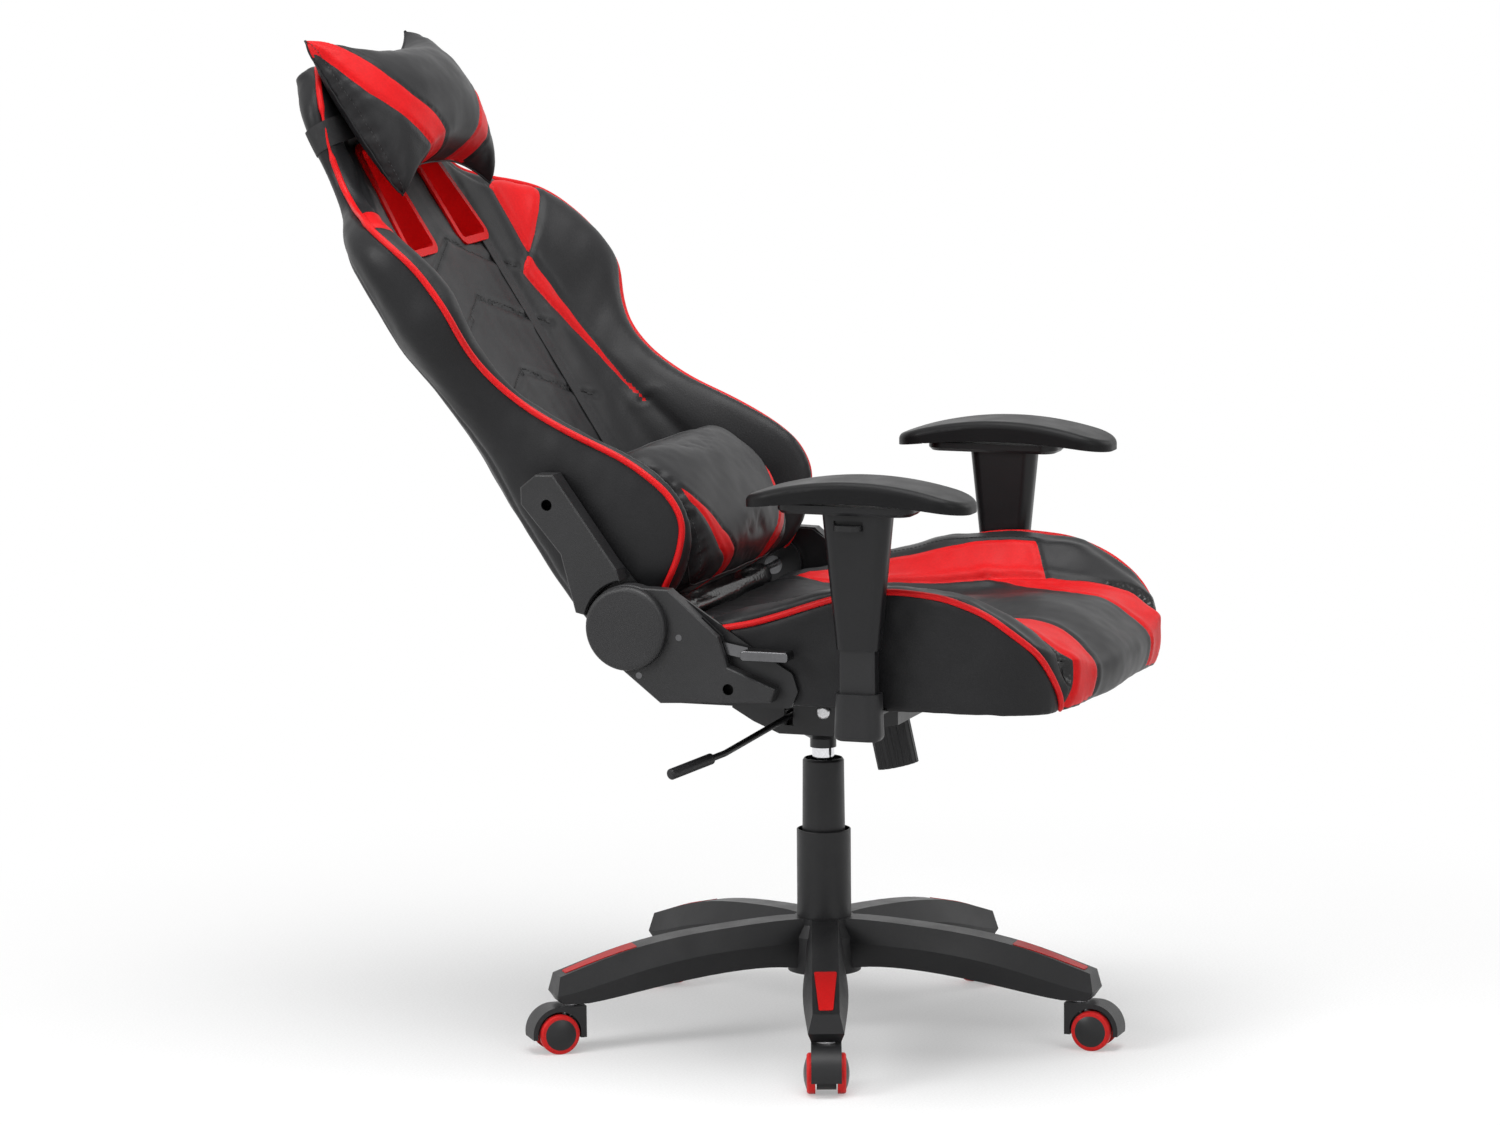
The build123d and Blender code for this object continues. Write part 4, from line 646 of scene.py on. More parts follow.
def make_piece(name: str, data: bpy.types.Mesh, body: str,
               finishes: Sequence[Finish]) -> bpy.types.Object:
    """Links a mesh as a leather piece of a body, with its finishes."""
    piece = placed(name, data)
    for finish in finishes:
        data.materials.append(finish.material())
    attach(piece, body)
    log.info("%s on %s: %d points", name, body, len(data.vertices))
    return piece


# ---- piping and thread ----
def ring_mesh(tubes: Iterable[Array]) -> bpy.types.Mesh:
    """Tubes closed at both ends, each a grid of points: ring after ring, round its line."""
    verts: list[tuple[float, ...]] = []
    faces: list[Sequence[int]] = []
    for tube in tubes:
        rings, sides, _ = tube.shape
        first = len(verts)
        last = first + (rings - 1) * sides
        verts += [tuple(place) for place in tube.reshape(-1, 3)]
        for ring in range(first, last, sides):
            for k in range(sides):
                a, b = ring + k, ring + (k + 1) % sides
                faces.append((a, b, b + sides, a + sides))
        faces += [range(first, first + sides)[::-1], range(last, last + sides)]
    data = bpy.data.meshes.new("tube")
    data.from_pydata(verts, [], faces)
    data.polygons.foreach_set("use_smooth", [True] * len(faces))
    return data


def cord(path: Array, radius: float | Array, sides: int) -> Array:
    """Rings of points round a line of points, for ring_mesh."""
    ways = np.gradient(path, axis=0)
    moving = np.linalg.norm(ways, axis=1) > 1e-6
    radii = np.broadcast_to(radius, len(path))[moving]
    path, ways = path[moving], ways[moving]
    ways /= np.linalg.norm(ways, axis=1)[:, None]
    across = np.cross(ways[0], (0.0, 0.0, 1.0))
    if np.linalg.norm(across) < 0.1:
        across = np.cross(ways[0], (1.0, 0.0, 0.0))
    turns = (2 * math.pi * np.arange(sides) / sides)[:, None]
    cos, sin = np.cos(turns), np.sin(turns)
    rings = []
    for place, way, wide in zip(path, ways, radii):
        across = across - way * (across @ way)
        across /= np.linalg.norm(across)
        rings.append(place + wide * (cos * across + sin * np.cross(way, across)))
    return np.array(rings)


def rest_on(tree: BVHTree, path: Array, lift: float) -> Array:
    """Moves each point of a path to the nearest place on a surface, lifted off it."""
    rested = []
    for place in path:
        spot, normal, _, _ = tree.find_nearest(Vector(place))
        rested.append(np.array(spot + normal * lift))
    return np.array(rested)


def ease(path: Array, rounds: int) -> Array:
    """Smooths a path, with its ends left where they are."""
    for _ in range(rounds):
        path[1:-1] = 0.5 * path[1:-1] + 0.25 * (path[:-2] + path[2:])
    return path


@dataclass
class Piping:
    """Round leather-covered cord sewn into a seam on both sides of the chair.

    Args:
        name: Name of the piece.
        path: Points of the seam on the sitter's right, as world rows.
        radius: Radius of the cord.
        lift: Height of the cord's middle over the skin.
        end_taper: Share of the radius that is lost at the ends.
        give: Share of the radius that is lost where it is pressed in.
        pressed: Where something laid over it presses it in, 0 to 1.
    """

    name: str
    path: Array
    radius: float = 0.0040
    lift: float = 0.0024
    end_taper: float = 0.5
    give: float = 0.55
    pressed: Chart | None = None

    SIDES = 14
    EASINGS = 14
    END = 0.985  # where the ends begin, as a share of the half length

    def lines(self) -> list[Array]:
        """The seam on the right and its mirror image on the left."""
        return [self.path, self.path * MIRROR]

    def distance(self, places: Array, _normals: Array) -> Array:
        """Distance of each place from either seam."""
        return np.minimum(*(line_distance(places, line) for line in self.lines()))

    def build(self, tree: BVHTree, body: str) -> None:
        """Lays the cord on the skin."""
        tubes = []
        for line in self.lines():
            rested = ease(rest_on(tree, line, self.lift), self.EASINGS)
            along = np.abs(np.linspace(-1.0, 1.0, len(line)))
            radii = self.radius * (1.0 - self.end_taper * ramp(along, self.END, 1.0))
            if self.pressed:
                radii = radii * (1.0 - self.give * self.pressed(rested))
            tubes.append(cord(rested, radii, self.SIDES))
        make_piece(self.name, ring_mesh(tubes), body, [RED_PIPING])


class Threads:
    """Visible stitches along seams, gathered into one piece.

    Args:
        name: Name of the piece.
    """

    LENGTH = 0.0042
    GAP = 0.0018
    RADIUS = 0.00042

    def __init__(self, name: str) -> None:
        self.name = name
        self.stitches: list[Array] = []

    def sew(self, tree: BVHTree, line: Array) -> None:
        """Adds stitches that lie on the skin along a line."""
        places = even_path(np.asarray(line, float), self.LENGTH + self.GAP)
        for a, b in zip(places, places[1:]):
            end = a + (b - a) * self.LENGTH / (self.LENGTH + self.GAP)
            middle = rest_on(tree, np.array([a, 0.5 * (a + end), end]), self.RADIUS * 0.6)
            middle[1] = rest_on(tree, middle[1:2], self.RADIUS * 1.5)[0]
            self.stitches.append(cord(middle, self.RADIUS * np.array([0.6, 1.0, 0.6]), 6))

    def finish(self, body: str) -> None:
        """Makes the piece, if anything was sewn."""
        if self.stitches:
            make_piece(self.name, ring_mesh(self.stitches), body, [BLACK_THREAD])


# ---- seat ----
@dataclass
class Seat:
    """Seat cushion: dished middle, raised side bolsters, red panels and piping.

    Rows are (distance from the middle, y, z) of the seams on either side, (distance, y) of the
    flank panels, (distance, length forward) of the valleys and (x, y, z) of the piping. The
    sizes before them say how far each form of the leather rises, sinks or is drawn in.
    """

    pitch: float = 0.0042
    crown: float = 0.005
    hollow: float = 0.003
    rear_rise: float = 0.012
    ridge: float = 0.0118
    crest: float = 0.0105
    turn_in: float = 0.014
    draw_back: float = 0.005
    hem: float = 0.0145
    tuck_depth: float = 0.0095
    fold_height: float = 0.0020
    nose: tuple[float, float] = (-0.335, 0.475)
    nose_radius: float = 0.060
    stripe_inner: Rows = (
        (0.1625, -0.160, 0.560), (0.1550, -0.190, 0.562), (0.1453, -0.214, 0.563),
        (0.1270, -0.255, 0.562), (0.1150, -0.285, 0.560), (0.1080, -0.310, 0.557),
        (0.1070, -0.335, 0.549), (0.1090, -0.357, 0.538), (0.1130, -0.375, 0.520),
        (0.1150, -0.383, 0.500), (0.1170, -0.378, 0.472), (0.1190, -0.360, 0.456),
    )
    stripe_outer: Rows = (
        (0.1640, -0.162, 0.560), (0.1630, -0.240, 0.562), (0.1650, -0.280, 0.562),
        (0.1720, -0.308, 0.559), (0.1820, -0.330, 0.553), (0.1890, -0.347, 0.545),
        (0.1870, -0.363, 0.534), (0.1820, -0.376, 0.517), (0.1800, -0.381, 0.501),
        (0.1840, -0.378, 0.485), (0.1930, -0.371, 0.470), (0.1980, -0.353, 0.456),
    )
    valley: Rows = ((0.150, -0.125), (0.153, -0.040), (0.156, 0.104), (0.1615, 0.160))
    flank_panel: Rows = (
        (0.185, 0.100), (0.158, 0.060), (0.156, -0.104), (0.1615, -0.160), (0.1625, -0.205),
        (0.1600, -0.243), (0.192, -0.2255), (0.214, -0.2125), (0.212, -0.185), (0.210, -0.149),
        (0.206, -0.109), (0.205, -0.073), (0.208, -0.023), (0.210, 0.040), (0.203, 0.086),
    )
    tuck: Rows = (
        (0.1780, -0.314, 0.557), (0.1900, -0.325, 0.556), (0.2030, -0.341, 0.550),
        (0.2110, -0.356, 0.538), (0.2090, -0.368, 0.518), (0.2010, -0.374, 0.502),
        (0.1930, -0.376, 0.487), (0.1885, -0.373, 0.478), (0.1855, -0.378, 0.488),
        (0.1815, -0.381, 0.501), (0.1830, -0.376, 0.517), (0.1885, -0.363, 0.534),
        (0.1895, -0.348, 0.545), (0.1825, -0.331, 0.553),
    )
    piping: Rows = (
        (-0.260, 0.070, 0.547), (-0.260, 0.045, 0.551), (-0.260, 0.001, 0.560),
        (-0.260, -0.040, 0.573), (-0.260, -0.080, 0.587), (-0.260, -0.125, 0.600),
        (-0.260, -0.171, 0.607), (-0.260, -0.201, 0.607), (-0.260, -0.238, 0.602),
        (-0.260, -0.276, 0.591), (-0.259, -0.301, 0.580), (-0.254, -0.332, 0.557),
        (-0.238, -0.356, 0.533), (-0.222, -0.367, 0.507), (-0.208, -0.374, 0.482),
        (-0.202, -0.374, 0.468), (-0.198, -0.370, 0.461),
    )

    def chart(self, places: Array) -> Array:
        """Unrolls the top and nose: (distance from the middle, length forward and down)."""
        x, y, z = places.T
        ahead = self.nose[0] - y
        turn = np.arctan2(ahead, np.maximum(z - self.nose[1], -0.06) + 1e-9)
        over = -self.nose[0] + self.nose_radius * turn
        return np.stack([np.abs(x), np.where(ahead > 0.0, over, -y)], 1)

    def shown(self, places: Array, normals: Array) -> Array:
        """Whether each place is on the cushion's top, sides or nose."""
        return (places[:, 2] >= 0.480) | (normals[:, 2] >= -0.5)

    def panels(self) -> tuple[Array, Array, Array]:
        """Outlines of the stripe, flank panel and tuck, in the chart."""
        inner = smooth_path(self.chart(np.array(self.stripe_inner)), STEP)
        outer = smooth_path(self.chart(np.array(self.stripe_outer)), STEP)
        stripe = np.vstack([inner, outer[::-1]])
        flank = np.array([(x, -y) for x, y in self.flank_panel])
        rear, front = smooth_path(flank[:6], 0.005), smooth_path(flank[7:], 0.005)
        flank = np.vstack([rear, smooth_path(flank[5:8], 0.005)[1:-1], front])
        tuck = smooth_path(self.chart(np.array(self.tuck)), 0.003, closed=True)
        return stripe, flank, tuck

    def build(self) -> None:
        """Makes the seat cushion, its piping and its stitching."""
        skin = Skin("seat_cover", "seat_cushion", self.pitch)
        self._settle(skin)
        stripe, flank, tuck = (panel_field(self.chart, line, self.shown)
                               for line in self.panels())
        for where in (flank, stripe, tuck):
            skin.cut(where)
        # Slot 2 gives the tuck the darker leather: painted shade in its crease.
        for where, slot in ((flank, 1), (stripe, 1), (tuck, 2)):
            skin.paint(where, slot)
        for where, seam in ((flank, PANEL_SEAM), (stripe, STRIPE_SEAM),
                            (self._valley, VALLEY_SEAM)):
            skin.groove(where, seam)
        self._crease(skin, tuck)
        piping = Piping("seat_piping", smooth_path(self.piping, STEP))
        skin.groove(piping.distance, SEAT_PIPING_SEAM)
        piping.build(skin.tree(), "seat")
        self._stitch(skin)
        skin.finish("seat", [BLACK_LEATHER, RED_LEATHER, SHADED_CREASE_LEATHER], fill=0.85)

    def _settle(self, skin: Skin) -> None:
        """Draws the nose in between the stripes and lets the leather undulate."""
        places = skin.places()
        x, y, z = np.abs(places[:, 0]), places[:, 1], places[:, 2]
        top = ramp(z, 0.515, 0.535)
        middle = fall(x, 0.115, 0.165) * ramp(-y, 0.12, 0.20) * fall(-y, 0.325, 0.375)
        hollow = bell(x, 0.185, 0.02) * ramp(-y, 0.30, 0.33)
        rear = ramp(y, 0.03, 0.11) * fall(x, 0.20, 0.24)
        ridge = ramp(y, -0.06, 0.03) * bell(x, 0.232, 0.028)
        nose = ramp(-y, 0.35, 0.37) * fall(z, 0.520, 0.540)
        nose *= 0.0050 * bell(x, 0.105, 0.04) - 0.0055 * bell(x, 0.175, 0.025)
        under = fall(z, 0.455, 0.490) * ramp(-y, 0.33, 0.36) * fall(x, 0.19, 0.23)
        ahead = ramp(-y, 0.34, 0.39) * fall(x, 0.20, 0.23)
        shelf = top * bell(x, 0.236, 0.015) * ramp(-y, -0.04, 0.02)
        crest = self.crest * ramp(z, 0.598, 0.6236)
        crest += (0.003 + 0.004 * ramp(-y, 0.20, 0.33)) * shelf
        up = top * (self.crown * middle - self.hollow * hollow + self.rear_rise * rear
                    + self.ridge * ridge) - crest
        back = nose + self.turn_in * under + self.draw_back * ahead
        skin.move(np.stack([0 * x, back, up], 1))
        self._hem(skin)
        skin.puff(soft_noise(places, 0.11, 5) * 0.0010 + soft_noise(places, 0.035, 6) * 0.00025)

    def _hem(self, skin: Skin) -> None:
        """Pulls the lowest rim of the leather down over the edge of the pan."""
        places = skin.places()
        x, y, z = np.abs(places[:, 0]), places[:, 1], places[:, 2]
        corner = np.hypot(np.maximum(x - 0.170, 0.0), np.maximum(-y - 0.290, 0.0))
        rim = np.maximum(ramp(corner, 0.058, 0.072), ramp(x, 0.232, 0.246))
        rim = np.maximum(rim, np.maximum(ramp(-y, 0.352, 0.366), ramp(y, 0.100, 0.114)))
        down = np.zeros_like(places)
        down[:, 2] = -self.hem * rim * fall(z, 0.4745, 0.493)
        skin.move(down)

    def _valley(self, places: Array, _normals: Array) -> Array:
        """Distance from the seam between the seat's middle and its bolsters."""
        away = line_distance(self.chart(places), np.array(self.valley))
        return np.where(places[:, 2] > 0.50, away, 1.0)

    def _crease(self, skin: Skin, tuck: Field) -> None:
        """Sinks the pinched tuck at each front corner and wrinkles the leather in it."""
        places, normals = skin.places(), skin.normals()
        inside = np.clip(-tuck(places, normals) / 0.006, 0.0, 1.0)
        folds = np.sin(places[:, 2] * 620.0 + 3.0 * soft_noise(places, 0.03, 8))
        skin.puff((self.fold_height * folds - self.tuck_depth) * inside)

    def _stitch(self, skin: Skin) -> None:
        """Sews a row of stitches beside the flank panels."""
        tree = skin.tree()
        for side in (-1.0, 1.0):
            rows = [(side * (x + 0.0045), y, 0.61) for x, y in self.flank_panel[7:-1]]
            skin.threads.sew(tree, rest_on(tree, smooth_path(rows, STEP), 0.0))


# ---- back ----
@dataclass
class Back:
    """Back cushion: wings, head section, quilted middle, red panels and piping.

    Panel and seam rows are (distance from the middle, u); piping rows are (u, v, distance) and
    rear seam rows (u, distance).
    """

    pitch: float = 0.0045
    draw_in: float = 0.0035
    shoulder: Rows = (
        (0.1795, 0.5030), (0.1820, 0.536), (0.1850, 0.563), (0.1870, 0.590), (0.1880, 0.606),
        (0.2050, 0.6115), (0.2300, 0.6125), (0.2560, 0.6080), (0.2790, 0.5960), (0.2370, 0.5570),
        (0.2040, 0.5235),
    )
    sliver: Rows = (
        (0.1790, 0.5030), (0.1650, 0.4935), (0.1540, 0.4830), (0.1640, 0.448), (0.1750, 0.417),
        (0.1830, 0.380), (0.1880, 0.345), (0.1900, 0.308), (0.1915, 0.2650), (0.1925, 0.2660),
        (0.1925, 0.301), (0.1930, 0.330), (0.1930, 0.372), (0.1915, 0.418), (0.1855, 0.454),
        (0.1800, 0.4850),
    )
    seam: Rows = ((0.1950, 0.020), (0.1940, 0.150), (0.1925, 0.265))
    neck_seam: Rows = ((0.1880, 0.606), (0.1600, 0.640), (0.1300, 0.690), (0.1200, 0.780))
    chevrons: tuple[float, ...] = (0.555, 0.470, 0.362, 0.255)
    chevron_reach: float = 0.150
    chevron_drop: float = 0.40
    piping: Rows = (
        (-0.0150, 0.0360, 0.247), (0.014, 0.0585, 0.250), (0.040, 0.0900, 0.250),
        (0.072, 0.1180, 0.249), (0.100, 0.1225, 0.250), (0.129, 0.1180, 0.250),
        (0.186, 0.0935, 0.250), (0.245, 0.0540, 0.250), (0.2975, 0.0260, 0.255),
        (0.360, 0.0040, 0.262), (0.400, 0.0080, 0.282), (0.4457, 0.0150, 0.299),
        (0.508, 0.0100, 0.301), (0.5445, -0.0030, 0.298), (0.574, -0.0160, 0.288),
        (0.5945, -0.0250, 0.275), (0.6150, -0.0450, 0.235), (0.6380, -0.0620, 0.195),
        (0.6600, -0.0680, 0.178), (0.713, -0.0580, 0.172), (0.773, -0.0380, 0.160),
        (0.799, -0.0280, 0.146), (0.8100, -0.0350, 0.125), (0.8140, -0.0450, 0.090),
        (0.8150, -0.0480, 0.040), (0.8150, -0.0480, 0.000),
    )
    rear_seam: Rows = ((0.030, 0.215), (0.200, 0.225), (0.360, 0.232), (0.480, 0.262),
                       (0.560, 0.262), (0.640, 0.168), (0.720, 0.150), (0.790, 0.135))

    def chart(self, places: Array) -> Array:
        """Rows of (distance from the middle, u)."""
        x, u, _ = LEAN.local(places).T
        return np.stack([np.abs(x), u], 1)

    def shown(self, places: Array, _normals: Array) -> Array:
        """Whether each place is in front of the cushion's rear face."""
        return LEAN.local(places)[:, 2] > -0.072

    def inside_piping(self, panel: Field) -> Field:
        """The part of a panel that is on the front side of the piping."""
        rows = np.array(self.piping)

        def kept(places: Array, normals: Array) -> Array:
            x, u, v = LEAN.local(places).T
            behind = np.interp(u, rows[:, 0], rows[:, 1]) - v
            beyond = np.abs(x) - np.interp(u, rows[:, 0], rows[:, 2])
            return np.maximum(panel(places, normals), behind + beyond)

        return kept

    def line_field(self, line: Sequence[Sequence[float]], front: bool = True) -> Field:
        """Distance from a seam in (distance, u), on the front or the rear of the back."""
        path = smooth_path(line, 0.01)

        def away(places: Array, normals: Array) -> Array:
            facing = LEAN.turn(normals)[:, 2] * (1.0 if front else -1.0)
            return np.where(facing > 0.05, line_distance(self.chart(places), path), 1.0)

        return away

    def chevron_line(self, apex: float) -> Array:
        """One quilting line across the middle panel, as (distance, u)."""
        reach = self.chevron_reach
        return np.array([(0.0, apex), (reach, apex - self.chevron_drop * reach)])

    def piping_line(self) -> Array:
        """World rows of the piping on the sitter's right, top middle last."""
        rows = smooth_path([(-x, u, v) for u, v, x in self.piping], STEP)
        return LEAN.world(rows)

    def build(self) -> None:
        """Makes the back cushion, its piping and its stitching."""
        skin = Skin("back_cover", "back_cushion", self.pitch)
        places = skin.places()
        self._flatten(skin)
        skin.puff(soft_noise(places, 0.12, 15) * 0.0010 + soft_noise(places, 0.04, 16) * 0.0003)
        shoulder, sliver = (
            panel_field(self.chart, even_path(np.array(line + line[:1]), STEP)[:-1], self.shown)
            for line in (self.shoulder, self.sliver))
        for where in (self.inside_piping(shoulder), sliver):
            skin.cut(where)
            skin.paint(where, 1)
            skin.groove(where, PANEL_SEAM)
        skin.groove(self.line_field(self.seam), WING_SEAM)
        skin.groove(self.line_field(self.neck_seam), NECK_SEAM)
        for apex in self.chevrons:
            skin.groove(self.line_field(self.chevron_line(apex)), QUILT_SEAM)
        skin.groove(self.line_field([(x, u) for u, x in self.rear_seam], False), REAR_SEAM)
        piping = Piping("back_piping", self.piping_line(), pressed=self._strapped)
        skin.groove(piping.distance, BACK_PIPING_SEAM)
        piping.build(skin.tree(), "backrest")
        self._stitch(skin)
        skin.finish("backrest", [BLACK_LEATHER, RED_LEATHER], fill=0.85)

    def _flatten(self, skin: Skin) -> None:
        """Draws the wings' crests in beside the piping."""
        x, u, v = LEAN.local(skin.places()).T
        beside = bell(np.abs(x), 0.226, 0.012) * ramp(v, -0.02, 0.02)
        depth = self.draw_in * beside * ramp(u, -0.05, 0.02) * fall(u, 0.33, 0.40)
        start = LEAN.world(np.stack([x, u, v], 1))
        skin.move(LEAN.world(np.stack([x, u, v - depth], 1)) - start)

    def _strapped(self, line: Array) -> Array:
        """How far the pillow's elastic strap presses the piping in, 0 to 1."""
        u = LEAN.local(line)[:, 1]
        return ramp(u, 0.695, 0.707) * fall(u, 0.747, 0.759)

    def _stitch(self, skin: Skin) -> None:
        """Sews the chevrons of the middle panel."""
        tree = skin.tree()
        for apex in self.chevrons:
            for side in (-1.0, 1.0):
                rows = [(side * x, u, -0.050) for x, u in self.chevron_line(apex)]
                skin.threads.sew(tree, LEAN.world(rows))


# ---- pillows ----
@dataclass(frozen=True)
class PillowForm:
    """Two leather panels sewn round their edge and stuffed, in the back's own frame.

    Args:
        half_width: Distance of the corners from the middle.
        middle: Height of the pillow's middle up the back.
        half_height: Height of the corners over the middle.
        waist: How far the side seams are drawn in between corners.
        sag: How far the top and bottom seams are drawn in between corners.
        sag_power: Squareness of that draw, 2 for a round one.
        corner_v: How far out of the back the corners are.
        side_v: Further reach of the side seams' middles.
        edge_v: Further reach of the top and bottom seams' middles.
        front: Swell of the front panel over the seam.
        rear: Swell of the rear panel behind the seam.
        front_power: Fullness of the front panel, lower is fuller.
        rear_power: Fullness of the rear panel.
        droop: Share by which the stuffing has sunk to the lower half.
        blunt: Rounding of the corners.
        floor_v: Plane that the rear panel is pressed flat against.
        stripe_outer: Outer edge of each red stripe, as (t, s) from top to bottom.
        stripe_inner: Inner edge of each red stripe.
        taper: How much wider the top corners are than the middle, and the bottom ones narrower.
        roll: How far the pillow hangs askew, as rise over run towards the sitter's right.
        reach: How far up its stripe runs on the right and on the left, where the ear is tucked.
    """

    half_width: float
    middle: float
    half_height: float
    waist: float
    sag: float
    sag_power: float
    corner_v: float
    side_v: float
    edge_v: float
    front: float
    rear: float
    front_power: float
    rear_power: float
    droop: float
    blunt: float
    floor_v: float
    stripe_outer: Rows
    stripe_inner: Rows
    taper: float = 0.0
    roll: float = 0.0
    reach: tuple[float, float] = (1.05, 1.05)

    def place(self, s: Array, t: Array, facing: float) -> Array:
        """Local rows (x, u, v) for shares s across and t up, -1 to 1, of one panel."""
        wide, high = self._span(s, t)
        x = s * wide
        u = self.middle + t * high - self.roll * x
        seam = (self.corner_v + self.side_v * (1.0 - t * t) * s * s
                + self.edge_v * (1.0 - s**4) * t * t)
        swell = np.clip((1.0 - s * s) * (1.0 - t * t), 0.0, 1.0)
        rest = self.corner_v + 0.5 * (self.side_v + self.edge_v)
        seam = np.where(swell > 0.0, seam + (rest - seam) * swell**0.8 * 0.5, seam)
        if facing > 0:
            v = seam + self.front * (1.0 - self.droop * t) * swell**self.front_power
        else:
            v = np.maximum(seam - self.rear * swell**self.rear_power,
                           np.minimum(self.floor_v, seam))
        return np.stack([x, u, v], -1)

    def _span(self, s: Array, t: Array) -> tuple[Array, Array]:
        """How far the seam is from the middle across and up, beside a place."""
        shrink = 1.0 - self.blunt * (s * s * t * t) ** 4
        flat = 1.0 - np.abs(s) ** self.sag_power
        return (shrink * (self.half_width + self.taper * t - self.waist * (1.0 - t * t)),
                shrink * (self.half_height - self.sag * flat))

    def chart(self, places: Array) -> Array:
        """Shares (across, up) of world places, across always positive."""
        x, u, _ = LEAN.local(places).T
        u = u + self.roll * x
        s, t = np.abs(x) / self.half_width, (u - self.middle) / self.half_height
        for _ in range(12):
            wide, high = self._span(np.clip(s, 0.0, 1.0), np.clip(t, -1.0, 1.0))
            s, t = np.abs(x) / wide, (u - self.middle) / high
        return np.stack([s, t], 1)

    def stripe(self, places: Array, normals: Array) -> Array:
        """Distance from the red stripes in the front panel, negative inside them."""
        s, t = self.chart(places).T
        outer, inner = np.array(self.stripe_outer)[::-1], np.array(self.stripe_inner)[::-1]
        past = s - np.interp(t, outer[:, 0], outer[:, 1])
        short = np.interp(t, inner[:, 0], inner[:, 1]) - s
        away = np.maximum(past, short) * self.half_width
        facing = LEAN.turn(normals)[:, 2]
        away = np.maximum(away, (t - np.where(places[:, 0] < 0, *self.reach)) * self.half_height)
        return np.where((facing > -0.15) & (t > -1.05), away, OFF_PANEL)


